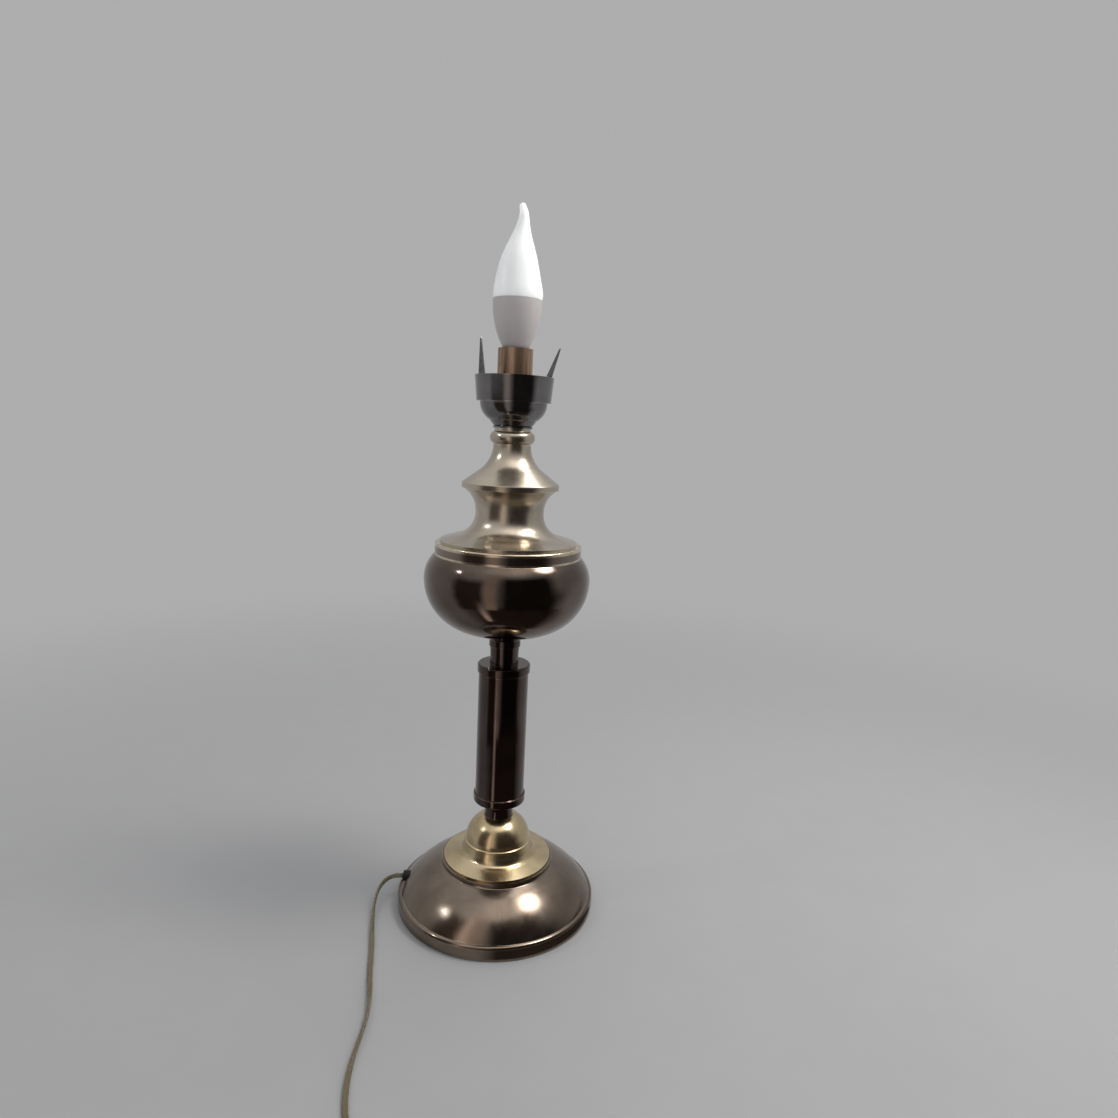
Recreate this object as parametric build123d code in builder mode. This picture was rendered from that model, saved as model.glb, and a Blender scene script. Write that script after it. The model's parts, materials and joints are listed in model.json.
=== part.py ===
from build123d import *
from math import cos, pi, radians, sin, sqrt, tan
import os

# Table lamp in oil-lamp style with a candle bulb. Millimetres, +Z up, X to the right seen from the front.
# The origin is the middle of the foot's underside; every turned piece shares the Z axis.

# Sheet, rod and clearances
SHEET = 1.0
DOME_SHEET = 1.2
ROD_R = 5.0
ROD_BORE_R = 3.7
ROD_PLAY = 0.2
PUSH_PLAY = 0.1
TURN_PLAY = 0.05
THREAD_PLAY = 0.3
CONTACT_GAP = 0.1
ROD_HOLE_R = ROD_R + ROD_PLAY

# Foot
BASE_R = 83.0
RIM_LIFT = 0.4
RIM_H = 8.6
RIM_ROLL = 3.0
RIM_LIP = 3.0
FOOT_H = 41.0
SEAT_R = 46.8
SEAT_H = 2.6
SEAT_COVE = 1.6
DOME_BULGE = 2.6
FELT_T = 1.6
FELT_PLAY = 0.4
COVER_T = 1.0

# Weight, clamp and bush inside the foot
WEIGHT_TO_BUSH = 2.5
WEIGHT_SLOPE = 16.0
WEIGHT_EDGE_H = 4.5
WEIGHT_H = 15.5
WEIGHT_HUB_R = 16.0
NUT_AF = 17.0
NUT_H = 8.0
TOP_NUT_H = 4.0
ROD_WASHER_R = 12.0
ROD_WASHER_T = 1.5
ROD_TAIL = 1.0
BUSH_AZIMUTH = 175.0
BUSH_Z = 14.0
BUSH_R = 4.6
BUSH_REACH = 2.5
BUSH_LENGTH = 16.0
CLAMP_INSET = 14.0
CLAMP_LENGTH = 22.0
CLAMP_WIDTH = 9.0
CLAMP_T = 2.0
CLAMP_SCREW_R = 1.5
CLAMP_SCREW_PITCH = 15.0
CLAMP_SCREW_DEPTH = 6.0
SCREW_HEAD_R = 2.8
SCREW_HEAD_H = 1.8

# Stepped cap
CAP_H = 36.5
CAP_FLANGE_R = 44.8
CAP_FLANGE_T = 1.5
CAP_TIER_R = 30.2
CAP_TIER_Z = 5.2
CAP_COVE = 7.0
CAP_STEP_R = 28.1
CAP_STEP_Z = 13.8
CAP_STEP_H = 2.4
CAP_DOME_R = 27.2
CAP_DOME_SIDE_R = 23.8
CAP_DOME_SIDE_Z = 27.0

# Column
NECK_R = 11.6
NECK_FLARE = 1.2
NECK_H = 13.7
COLLAR_R = 21.6
COLLAR_H = 7.6
COLLAR_ROUND = 1.4
COLLAR_GROOVE = 0.9
COLUMN_R = 20.4
COLUMN_H = 104.6
SPIGOT_H = 6.0
UPPER_NECK_H = 15.0

# Font: bowl, rim, shoulder, bell, bead
FONT_FOOT_R = 18.0
FONT_FOOT_H = 12.1
FONT_R = 66.4
FONT_SEAT_R = 22.5
FONT_UPPER_H = 19.0
BAND_R = 58.2
MOUTH_STEP = 0.4
BAND_H = 9.5
BAND_ROUND = 1.2
SHELF_R = 46.0
SHOULDER_H = 43.5
SHOULDER_R = 54.0
SHOULDER_EDGE_H = 2.3
THROAT_R = 27.1
THROAT_LOW = 10.3
THROAT_HIGH = 35.5
THROAT_LOW_FILLET = 18.0
THROAT_HIGH_FILLET = 20.0
SHOULDER_TOP_R = 37.4
WAIST_R = 38.3
WAIST_H = 4.0
WAIST_ROUND = 0.8
BELL_H = 34.0
BELL_TOP_R = 14.8
BELL_CORNER_Z = 21.7
BELL_FILLET = 24.2
BEAD_H = 12.6
BEAD_R = 17.6
BEAD_BOTTOM_R = 14.6
BEAD_TOP_R = 14.3
BEAD_ROLL_LOW = 0.6
BEAD_ROLL_MID = 5.9
BEAD_ROLL_TOP = 10.4

# Gallery for a shade
CUP_WASHER_R = 15.6
CUP_WASHER_T = 1.2
CUP_H = 18.8
CUP_NECK_R = 14.6
CUP_FLANK_R = 18.4
CUP_FLANK_Z = 4.8
CUP_R = 26.2
CUP_BULGE_R = 24.6
CUP_BULGE_Z = 11.6
GALLERY_R = 28.9
GALLERY_H = 19.4
GALLERY_SHEET = 0.8
GALLERY_TOP_R = 30.6
PRONG_FIRST = 93.0
PRONG_T = 0.8
PRONG_WIDTH = 8.4
PRONG_TIP_WIDTH = 1.5
PRONG_FOOT_H = 14.0
PRONG_GAP = 0.2
PRONG_NAMES = ("prong_back", "prong_left", "prong_right")
PRONG_LEANS = (9.0, 3.7, 21.0)
PRONG_LENGTHS = (25.0, 26.0, 22.0)

# Lampholder and sleeve
SLEEVE_R = 13.5
SLEEVE_T = 0.6
SLEEVE_RISE = 20.6
HOLDER_R = 12.0
HOLDER_WALL = 1.6
HOLDER_FLOOR = 3.0
HOLDER_BELOW_RIM = 3.1
LEDGE_Z = 6.2
LEDGE_W = 1.8
INSERT_BELOW_TOP = 2.5
ROD_TOP_BELOW_LEDGE = 1.0
WIRE_RECESS_R = 7.0
WIRE_RECESS_H = 4.0
TERMINAL_HOLE_H = 7.0
TERMINAL_SPREAD = 5.0
TERMINAL_SCREW_R = 1.3
TERMINAL_SCREW_Z = 4.0
TERMINAL_HEAD_R = 2.1
TERMINAL_HEAD_H = 1.4
SHELL_SHEET = 0.35
SHELL_H = 24.0
SHELL_LIP = 1.6
CONTACT_H = 2.8
CONTACT_T = 0.4
CONTACT_LENGTH = 8.0
CONTACT_WIDTH = 3.0
WIRE_R = 1.0
WIRE_SPACING = 1.25
WIRE_BEND = 2.6
WIRE_SPLAY_BEND = 1.5

# Bulb with an E14 screw cap
BULB_CAP_R = 6.9
BULB_CAP_H = 21.2
BULB_CAP_SHEET = 0.5
TIP_R = 2.4
TIP_H = 1.4
TIP_ROUND = 0.8
INSULATOR_H = 2.7
HOUSING_BOTTOM_R = 8.8
HOUSING_H = 37.4
HOUSING_SIDE_R = 15.2
HOUSING_SIDE_Z = 13.7
HOUSING_NECK_H = 10.0
BULB_R = 18.6
BULB_WALL = 1.2
FLAME_TIP_R = 2.6
FLAME_TIP_Z = 66.4
FLAME_TIP_LEAN = 1.5
BOARD_T = 1.5
BOARD_PLAY = 0.4
LED_COUNT = 8
LED_RING_R = 10.5
LED_SIDE = 3.0
LED_H = 0.8
DRIVER_WIDTH = 13.0
DRIVER_H = 24.0
DRIVER_T = 1.4
DRIVER_LIFT = 3.0
COIL_CAN_R = 3.0
COIL_CAN_H = 8.0

# Cord, coil and tie
CORD_D = 3.8
CORD_R = CORD_D / 2
FLOOR_GAP = 0.1
COIL_X = 52.0
COIL_Y = -284.0
COIL_R = 33.0
COIL_TURNS = 4.5
COIL_STEP = 4.2
COIL_LAYER = 4.2
COIL_APPROACH = 22.0
TIE_T = 0.8
TIE_WIDTH = 7.0
TIE_PLAY = 0.15

# In-line switch
SWITCH_LENGTH = 60.0
SWITCH_WIDTH = 24.0
SWITCH_BASE_H = 7.0
SWITCH_COVER_H = 8.0
SWITCH_WALL = 1.6
SWITCH_CORNER = 9.0
SWITCH_EDGE = 2.5
SWITCH_GRIP = 4.0
ROCKER_R = 8.8
ROCKER_W = 9.0
ROCKER_PLAY = 0.35
ROCKER_TILT = 7.0
ROCKER_BELOW_TOP = 3.2
ROCKER_TOP_ANGLE = 32.0
ROCKER_SIDE_ANGLE = 4.0
ROCKER_DIP = 3.4
ROCKER_HUB_R = 2.4
TRUNNION_R = 1.2
TRUNNION_L = 1.8
BEARING_W = 5.0
BEARING_DROP = 2.6
SWITCH_SCREW_R = 1.2
SWITCH_SCREW_PITCH = 40.0
SWITCH_SCREW_Y = 6.5
SWITCH_POST_R = 2.8
SWITCH_CONTACT = 5.0

# Plug with two round pins
PLUG_T = 14.0
PLUG_LENGTH = 34.0
PLUG_FRONT_W = 35.0
PLUG_WAIST_W = 26.0
PLUG_WAIST_X = 12.0
PLUG_TAIL_W = 12.0
PLUG_EDGE = 2.5
PIN_R = 2.0
PIN_L = 19.0
PIN_PITCH = 19.0
PIN_ROUND = 1.2
RELIEF_L = 24.0
RELIEF_R = 4.4
RELIEF_TIP_R = 2.6

# Levels up the axis, each piece standing on the one below
Z_SEAT = FOOT_H
Z_CAP_TOP = Z_SEAT + CAP_H
Z_COLLAR = Z_CAP_TOP + NECK_H
Z_COLUMN = Z_COLLAR + COLLAR_H
Z_UPPER_COLLAR = Z_COLUMN + COLUMN_H
Z_UPPER_NECK = Z_UPPER_COLLAR + COLLAR_H
Z_FONT_FOOT = Z_UPPER_NECK + UPPER_NECK_H
Z_FONT = Z_FONT_FOOT + FONT_FOOT_H
FONT_LOWER_R = FONT_R - FONT_SEAT_R
Z_FONT_WIDEST = Z_FONT + FONT_LOWER_R
Z_BAND = Z_FONT_WIDEST + FONT_UPPER_H
Z_SHOULDER = Z_BAND + BAND_H
Z_BELL = Z_SHOULDER + SHOULDER_H
Z_BEAD = Z_BELL + BELL_H
Z_CUP_WASHER = Z_BEAD + BEAD_H
Z_CUP = Z_CUP_WASHER + CUP_WASHER_T
Z_GALLERY = Z_CUP + CUP_H
Z_RIM = Z_GALLERY + GALLERY_H
Z_CUP_FLOOR = Z_CUP + SHEET
Z_HOLDER = Z_CUP_FLOOR + TOP_NUT_H
Z_SLEEVE_TOP = Z_RIM + SLEEVE_RISE
Z_HOLDER_TOP = Z_SLEEVE_TOP - HOLDER_BELOW_RIM
Z_LEDGE = Z_HOLDER + LEDGE_Z
Z_INSERT_TOP = Z_HOLDER_TOP - INSERT_BELOW_TOP
Z_SHELL = Z_INSERT_TOP - SHELL_H
Z_TIP = Z_SHELL + CONTACT_H + CONTACT_GAP
Z_INSULATOR = Z_TIP + TIP_H
Z_BULB_CAP = Z_INSULATOR + INSULATOR_H
Z_HOUSING = Z_BULB_CAP + BULB_CAP_H
Z_BULB_SEAM = Z_HOUSING + HOUSING_H
Z_WEIGHT = BUSH_Z + CORD_R + PUSH_PLAY
Z_WEIGHT_TOP = Z_SEAT - DOME_SHEET
Z_ROD_NUT = Z_WEIGHT - ROD_WASHER_T - NUT_H
Z_ROD_BOTTOM = Z_ROD_NUT - ROD_TAIL
Z_ROD_TOP = Z_LEDGE - ROD_TOP_BELOW_LEDGE
Z_COVER = RIM_LIFT + DOME_SHEET

# Directions of the cord's way out of the foot
BUSH_OUT = Vector(cos(radians(BUSH_AZIMUTH)), sin(radians(BUSH_AZIMUTH)), 0)
BUSH_SIDE = Vector(-sin(radians(BUSH_AZIMUTH)), cos(radians(BUSH_AZIMUTH)), 0)
BUSH_TIP_R = BASE_R - BUSH_REACH
BUSH_INNER_R = BUSH_TIP_R - BUSH_LENGTH
WEIGHT_R = BUSH_INNER_R - WEIGHT_TO_BUSH
CLAMP_PLACE_R = WEIGHT_R - CLAMP_INSET
SWITCH_CORD_Z = SWITCH_BASE_H
SWITCH_Y = COIL_Y + COIL_R
SWITCH_END_X = COIL_X - COIL_APPROACH - CORD_D
SWITCH_X = SWITCH_END_X - SWITCH_LENGTH / 2
SWITCH_START_X = SWITCH_END_X - SWITCH_LENGTH
SWITCH_TOP = SWITCH_BASE_H + SWITCH_COVER_H
PLUG_Y = COIL_Y - COIL_R
PLUG_Z = PLUG_T / 2
RELIEF_X = COIL_X - COIL_APPROACH - CORD_D
PLUG_X = RELIEF_X - RELIEF_L
PIN_X = PLUG_X - PLUG_LENGTH


def save(piece, label):
    piece.part.label = label
    export_step(piece.part, f"parts/{label}.step")


def out_of_foot(along, across, height):
    """A point on the cord's way through the foot: along the bush, across it, and its height."""
    return BUSH_OUT * along + BUSH_SIDE * across + Vector(0, 0, height)


# Foot: the felt and the cover fill the rolled rim from below
RIM_LIP_R = BASE_R - DOME_SHEET - RIM_LIP
with BuildPart() as felt_pad:
    with BuildSketch():
        Circle(RIM_LIP_R - FELT_PLAY)
    extrude(amount=Z_COVER)
save(felt_pad, "felt_pad")

with BuildPart() as base_cover:
    with BuildSketch(Plane.XY.offset(Z_COVER)):
        Circle(BASE_R - DOME_SHEET - PUSH_PLAY)
    extrude(amount=COVER_T)
save(base_cover, "base_cover")

# Foot: the spun dome, from its rolled rim up to the seat of the cap
DOME_START = Vector(BASE_R - RIM_ROLL, RIM_H + RIM_ROLL)
DOME_END = Vector(SEAT_R + SEAT_COVE, FOOT_H - SEAT_H - SEAT_COVE)
DOME_CHORD = (DOME_END - DOME_START).normalized()
DOME_MIDDLE = (DOME_START + DOME_END) / 2 + Vector(DOME_CHORD.Y, -DOME_CHORD.X) * DOME_BULGE
with BuildPart() as base_dome:
    with BuildSketch(Plane.XZ):
        with BuildLine():
            Polyline((0, RIM_LIFT), (BASE_R, RIM_LIFT), (BASE_R, RIM_H))
            RadiusArc((BASE_R, RIM_H), DOME_START, -RIM_ROLL)
            ThreePointArc(DOME_START, DOME_MIDDLE, DOME_END)
            RadiusArc(DOME_END, (SEAT_R, FOOT_H - SEAT_H), SEAT_COVE)
            Polyline((SEAT_R, FOOT_H - SEAT_H), (SEAT_R, FOOT_H), (0, FOOT_H), (0, RIM_LIFT))
        make_face()
    revolve(axis=Axis.Z)
    offset(amount=-DOME_SHEET, openings=base_dome.faces().filter_by(Axis.Z).sort_by(Axis.Z)[0])
    with BuildSketch(Plane.XY.offset(RIM_LIFT)):
        Circle(BASE_R - DOME_SHEET / 2)
        Circle(RIM_LIP_R, mode=Mode.SUBTRACT)
    extrude(amount=DOME_SHEET)
    with BuildSketch(Plane.XY.offset(FOOT_H)):
        Circle(ROD_HOLE_R)
    extrude(amount=-2 * DOME_SHEET, mode=Mode.SUBTRACT)
    with BuildSketch(Plane(origin=out_of_foot(BUSH_INNER_R, 0, BUSH_Z), z_dir=BUSH_OUT)):
        Circle(BUSH_R)
    extrude(amount=BUSH_LENGTH, mode=Mode.SUBTRACT)
save(base_dome, "base_dome")

with BuildPart() as cord_bush:
    with BuildSketch(Plane(origin=out_of_foot(BUSH_INNER_R, 0, BUSH_Z), z_dir=BUSH_OUT)):
        Circle(BUSH_R - PUSH_PLAY)
        Circle(CORD_R + PUSH_PLAY, mode=Mode.SUBTRACT)
    extrude(amount=BUSH_LENGTH)
    fillet(cord_bush.edges().filter_by(GeomType.CIRCLE).sort_by(Axis((0, 0, 0), BUSH_OUT))[-2:], PUSH_PLAY * 8)
save(cord_bush, "cord_bush")

# Foot: the cast weight hangs under the seat and is drawn up by the rod's nut
CLAMP_Z = BUSH_Z - CORD_R - PUSH_PLAY - CLAMP_T
with BuildPart() as base_weight:
    with BuildSketch(Plane.XZ):
        with BuildLine():
            Polyline(
                (ROD_HOLE_R, Z_WEIGHT),
                (WEIGHT_R, Z_WEIGHT),
                (WEIGHT_R, Z_WEIGHT + WEIGHT_EDGE_H),
                (WEIGHT_R - WEIGHT_SLOPE, Z_WEIGHT + WEIGHT_H),
                (WEIGHT_HUB_R, Z_WEIGHT + WEIGHT_H),
                (WEIGHT_HUB_R, Z_WEIGHT_TOP),
                (ROD_HOLE_R, Z_WEIGHT_TOP),
                close=True,
            )
        make_face()
    revolve(axis=Axis.Z)
    with BuildSketch(Plane(origin=out_of_foot(CLAMP_PLACE_R, 0, Z_WEIGHT), x_dir=BUSH_SIDE)):
        with GridLocations(CLAMP_SCREW_PITCH, 0, 2, 1):
            Circle(CLAMP_SCREW_R + PUSH_PLAY)
    extrude(amount=CLAMP_SCREW_DEPTH + PUSH_PLAY, mode=Mode.SUBTRACT)
save(base_weight, "base_weight")

with BuildPart() as cord_clamp:
    with BuildSketch(Plane(origin=out_of_foot(CLAMP_PLACE_R, 0, CLAMP_Z), x_dir=BUSH_SIDE)):
        RectangleRounded(CLAMP_LENGTH, CLAMP_WIDTH, CLAMP_T)
        with GridLocations(CLAMP_SCREW_PITCH, 0, 2, 1):
            Circle(CLAMP_SCREW_R + PUSH_PLAY, mode=Mode.SUBTRACT)
    extrude(amount=CLAMP_T)
save(cord_clamp, "cord_clamp")

with BuildPart() as clamp_screws:
    with BuildSketch(Plane(origin=out_of_foot(CLAMP_PLACE_R, 0, CLAMP_Z - SCREW_HEAD_H), x_dir=BUSH_SIDE)):
        with GridLocations(CLAMP_SCREW_PITCH, 0, 2, 1):
            Circle(SCREW_HEAD_R)
    extrude(amount=SCREW_HEAD_H)
    with BuildSketch(Plane(origin=out_of_foot(CLAMP_PLACE_R, 0, CLAMP_Z), x_dir=BUSH_SIDE)):
        with GridLocations(CLAMP_SCREW_PITCH, 0, 2, 1):
            Circle(CLAMP_SCREW_R)
    extrude(amount=Z_WEIGHT + CLAMP_SCREW_DEPTH - CLAMP_Z)
save(clamp_screws, "clamp_screws")

INNER_CORD_END_R = CLAMP_PLACE_R - CLAMP_WIDTH
with BuildPart() as inner_cord:
    with BuildSketch(Plane(origin=out_of_foot(INNER_CORD_END_R, 0, BUSH_Z), z_dir=BUSH_OUT)):
        Circle(CORD_R)
    extrude(amount=BUSH_TIP_R - INNER_CORD_END_R)
save(inner_cord, "inner_cord")

# Rod with its nuts and washers
with BuildPart() as centre_rod:
    with BuildSketch(Plane.XY.offset(Z_ROD_BOTTOM)):
        Circle(ROD_R)
        Circle(ROD_BORE_R, mode=Mode.SUBTRACT)
    extrude(amount=Z_ROD_TOP - Z_ROD_BOTTOM)
save(centre_rod, "centre_rod")

with BuildPart() as rod_nuts:
    for level, height in ((Z_ROD_NUT, NUT_H), (Z_CUP_FLOOR, TOP_NUT_H)):
        with BuildSketch(Plane.XY.offset(level)):
            RegularPolygon(NUT_AF / 2, 6, major_radius=False)
            Circle(ROD_R + PUSH_PLAY, mode=Mode.SUBTRACT)
        extrude(amount=height)
save(rod_nuts, "rod_nuts")

with BuildPart() as rod_washer:
    with BuildSketch(Plane.XY.offset(Z_WEIGHT - ROD_WASHER_T)):
        Circle(ROD_WASHER_R)
        Circle(ROD_HOLE_R, mode=Mode.SUBTRACT)
    extrude(amount=ROD_WASHER_T)
save(rod_washer, "rod_washer")

# Stepped brass cap on the dome's seat
with BuildPart() as base_cap:
    with BuildSketch(Plane.XZ):
        with BuildLine():
            skirt = FilletPolyline(
                (CAP_FLANGE_R, Z_SEAT + CAP_FLANGE_T),
                (CAP_TIER_R, Z_SEAT + CAP_TIER_Z),
                (CAP_STEP_R, Z_SEAT + CAP_STEP_Z),
                radius=CAP_COVE,
            )
            step = ThreePointArc(
                skirt @ 1,
                (CAP_STEP_R + CAP_STEP_H / 6, Z_SEAT + CAP_STEP_Z + CAP_STEP_H / 2),
                (CAP_DOME_R, Z_SEAT + CAP_STEP_Z + CAP_STEP_H),
            )
            crown = ThreePointArc(
                step @ 1,
                (CAP_DOME_SIDE_R, Z_SEAT + CAP_DOME_SIDE_Z),
                (NECK_R + NECK_FLARE, Z_CAP_TOP),
            )
            Polyline(crown @ 1, (0, Z_CAP_TOP), (0, Z_SEAT), (CAP_FLANGE_R, Z_SEAT), skirt @ 0)
        make_face()
    revolve(axis=Axis.Z)
    offset(amount=-SHEET, openings=base_cap.faces().filter_by(Axis.Z).sort_by(Axis.Z)[0])
    with BuildSketch(Plane.XY.offset(Z_CAP_TOP)):
        Circle(ROD_HOLE_R)
    extrude(amount=-2 * SHEET, mode=Mode.SUBTRACT)
save(base_cap, "base_cap")


def turned_neck(bottom, height, flare_low, flare_high):
    """A dark turned spacer on the rod, flared where it meets a wider piece."""
    with BuildPart() as neck:
        with BuildSketch(Plane.XZ):
            with BuildLine():
                side = ThreePointArc(
                    (NECK_R + flare_low, bottom),
                    (NECK_R, bottom + height / 2),
                    (NECK_R + flare_high, bottom + height),
                )
                Polyline(side @ 1, (ROD_HOLE_R, bottom + height), (ROD_HOLE_R, bottom), side @ 0)
            make_face()
        revolve(axis=Axis.Z)
    return neck


save(turned_neck(Z_CAP_TOP, NECK_H, NECK_FLARE / 2, NECK_FLARE / 4), "lower_neck")
save(turned_neck(Z_UPPER_NECK, UPPER_NECK_H, NECK_FLARE / 4, NECK_FLARE / 2), "upper_neck")


def turned_collar(face, outward):
    """A dark collar that plugs one end of the column; outward is +1 at the top and -1 at the bottom."""
    spigot_r = COLUMN_R - SHEET - PUSH_PLAY
    with BuildPart() as collar:
        with BuildSketch(Plane.XZ):
            with BuildLine():
                edge = FilletPolyline(
                    (COLUMN_R - COLLAR_GROOVE, face),
                    (COLLAR_R, face + outward * COLLAR_GROOVE),
                    (COLLAR_R, face + outward * COLLAR_H),
                    (COLUMN_R - COLLAR_GROOVE, face + outward * COLLAR_H),
                    radius=(COLLAR_GROOVE / 2, COLLAR_ROUND),
                )
                Polyline(
                    edge @ 1,
                    (ROD_HOLE_R, face + outward * COLLAR_H),
                    (ROD_HOLE_R, face - outward * SPIGOT_H),
                    (spigot_r, face - outward * SPIGOT_H),
                    (spigot_r, face),
                    edge @ 0,
                )
            make_face()
        revolve(axis=Axis.Z)
    return collar


save(turned_collar(Z_COLUMN, -1), "lower_collar")
save(turned_collar(Z_UPPER_COLLAR, 1), "upper_collar")

with BuildPart() as column_tube:
    with BuildSketch(Plane.XY.offset(Z_COLUMN)):
        Circle(COLUMN_R)
        Circle(COLUMN_R - SHEET, mode=Mode.SUBTRACT)
    extrude(amount=COLUMN_H)
save(column_tube, "column_tube")

# Font: foot, bowl, rim band
with BuildPart() as font_foot:
    with BuildSketch(Plane.XZ):
        with BuildLine():
            side = FilletPolyline(
                (NECK_R + NECK_FLARE, Z_FONT_FOOT),
                (NECK_R + NECK_FLARE, Z_FONT_FOOT + FONT_FOOT_H / 2),
                (FONT_FOOT_R, Z_FONT - FONT_FOOT_H / 4),
                (FONT_FOOT_R, Z_FONT),
                radius=COLLAR_ROUND,
            )
            Polyline(side @ 1, (ROD_HOLE_R, Z_FONT), (ROD_HOLE_R, Z_FONT_FOOT), side @ 0)
        make_face()
    revolve(axis=Axis.Z)
save(font_foot, "font_foot")

# The upper flank is the arc from the widest circle, where it stands upright, in to the mouth
FONT_MOUTH_R = BAND_R + MOUTH_STEP
FONT_IN = FONT_R - FONT_MOUTH_R
FONT_UPPER_R = (FONT_IN**2 + FONT_UPPER_H**2) / (2 * FONT_IN)
with BuildPart() as font_bowl:
    with BuildSketch(Plane.XZ):
        with BuildLine():
            RadiusArc((FONT_SEAT_R, Z_FONT), (FONT_R, Z_FONT_WIDEST), -FONT_LOWER_R)
            RadiusArc((FONT_R, Z_FONT_WIDEST), (FONT_MOUTH_R, Z_BAND), -FONT_UPPER_R)
            Polyline((FONT_MOUTH_R, Z_BAND), (0, Z_BAND), (0, Z_FONT), (FONT_SEAT_R, Z_FONT))
        make_face()
    revolve(axis=Axis.Z)
    offset(amount=-SHEET, openings=font_bowl.faces().filter_by(Axis.Z).sort_by(Axis.Z)[-1])
    with BuildSketch(Plane.XY.offset(Z_FONT)):
        Circle(ROD_HOLE_R)
    extrude(amount=2 * SHEET, mode=Mode.SUBTRACT)
save(font_bowl, "font_bowl")

with BuildPart() as font_rim:
    with BuildSketch(Plane.XZ):
        with BuildLine():
            edge = FilletPolyline(
                (BAND_R, Z_BAND),
                (BAND_R, Z_SHOULDER),
                (SHELF_R, Z_SHOULDER),
                radius=BAND_ROUND,
            )
            Polyline(
                edge @ 1,
                (SHELF_R, Z_SHOULDER - SHEET),
                (BAND_R - 2 * SHEET, Z_SHOULDER - SHEET),
                (BAND_R - 2 * SHEET, Z_BAND),
                edge @ 0,
            )
        make_face()
    revolve(axis=Axis.Z)
save(font_rim, "font_rim")

# Waisted shoulder, bell and bead
with BuildPart() as font_shoulder:
    with BuildSketch(Plane.XZ):
        with BuildLine():
            flank = FilletPolyline(
                (SHOULDER_R, Z_SHOULDER + SHOULDER_EDGE_H),
                (THROAT_R, Z_SHOULDER + THROAT_LOW),
                (THROAT_R, Z_SHOULDER + THROAT_HIGH),
                (SHOULDER_TOP_R, Z_BELL),
                radius=(THROAT_LOW_FILLET, THROAT_HIGH_FILLET),
            )
            Polyline(flank @ 1, (0, Z_BELL), (0, Z_SHOULDER), (SHOULDER_R, Z_SHOULDER), flank @ 0)
        make_face()
    revolve(axis=Axis.Z)
    offset(amount=-SHEET, openings=font_shoulder.faces().filter_by(Axis.Z))
save(font_shoulder, "font_shoulder")

with BuildPart() as upper_bell:
    with BuildSketch(Plane.XZ):
        with BuildLine():
            flank = FilletPolyline(
                (WAIST_R, Z_BELL),
                (WAIST_R, Z_BELL + WAIST_H),
                (BELL_TOP_R, Z_BELL + BELL_CORNER_Z),
                (BELL_TOP_R, Z_BEAD),
                radius=(WAIST_ROUND, BELL_FILLET),
            )
            Polyline(flank @ 1, (0, Z_BEAD), (0, Z_BELL), flank @ 0)
        make_face()
    revolve(axis=Axis.Z)
    offset(amount=-SHEET, openings=upper_bell.faces().filter_by(Axis.Z))
    with BuildSketch(Plane.XY.offset(Z_BELL)):
        Circle(WAIST_R - SHEET / 2)
        Circle(SHOULDER_TOP_R - 2 * SHEET, mode=Mode.SUBTRACT)
    extrude(amount=SHEET)
save(upper_bell, "upper_bell")

with BuildPart() as neck_bead:
    with BuildSketch(Plane.XZ):
        with BuildLine():
            roll = ThreePointArc(
                (BEAD_BOTTOM_R, Z_BEAD + BEAD_ROLL_LOW),
                (BEAD_R, Z_BEAD + BEAD_ROLL_MID),
                (BEAD_TOP_R, Z_BEAD + BEAD_ROLL_TOP),
            )
            Polyline(
                roll @ 1,
                (BEAD_TOP_R, Z_CUP_WASHER),
                (ROD_HOLE_R, Z_CUP_WASHER),
                (ROD_HOLE_R, Z_BEAD),
                (BEAD_BOTTOM_R, Z_BEAD),
                roll @ 0,
            )
        make_face()
    revolve(axis=Axis.Z)
save(neck_bead, "neck_bead")

with BuildPart() as cup_washer:
    with BuildSketch(Plane.XY.offset(Z_CUP_WASHER)):
        Circle(CUP_WASHER_R)
        Circle(ROD_HOLE_R, mode=Mode.SUBTRACT)
    extrude(amount=CUP_WASHER_T)
save(cup_washer, "cup_washer")

# Gallery: the cup, the flared band and the prongs
with BuildPart() as gallery_cup:
    with BuildSketch(Plane.XZ):
        with BuildLine():
            foot = Polyline(
                (0, Z_CUP),
                (CUP_NECK_R, Z_CUP),
                (CUP_FLANK_R, Z_CUP + CUP_FLANK_Z),
            )
            side = ThreePointArc(foot @ 1, (CUP_BULGE_R, Z_CUP + CUP_BULGE_Z), (CUP_R, Z_GALLERY))
            Polyline(side @ 1, (0, Z_GALLERY), (0, Z_CUP))
        make_face()
    revolve(axis=Axis.Z)
    offset(amount=-SHEET, openings=gallery_cup.faces().filter_by(Axis.Z).sort_by(Axis.Z)[-1])
    with BuildSketch(Plane.XY.offset(Z_CUP)):
        Circle(ROD_HOLE_R)
    extrude(amount=2 * SHEET, mode=Mode.SUBTRACT)
save(gallery_cup, "gallery_cup")

GALLERY_FLARE = (GALLERY_TOP_R - GALLERY_R) / GALLERY_H
GALLERY_INNER_R = GALLERY_R - GALLERY_SHEET
with BuildPart() as gallery_band:
    with BuildSketch(Plane.XZ):
        with BuildLine():
            Polyline(
                (CUP_R - 2 * SHEET, Z_GALLERY),
                (GALLERY_R, Z_GALLERY),
                (GALLERY_TOP_R, Z_RIM),
                (GALLERY_TOP_R - GALLERY_SHEET, Z_RIM),
                (GALLERY_INNER_R + GALLERY_FLARE * GALLERY_SHEET, Z_GALLERY + GALLERY_SHEET),
                (CUP_R - 2 * SHEET, Z_GALLERY + GALLERY_SHEET),
                close=True,
            )
        make_face()
    revolve(axis=Axis.Z)
save(gallery_band, "gallery_band")

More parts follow.
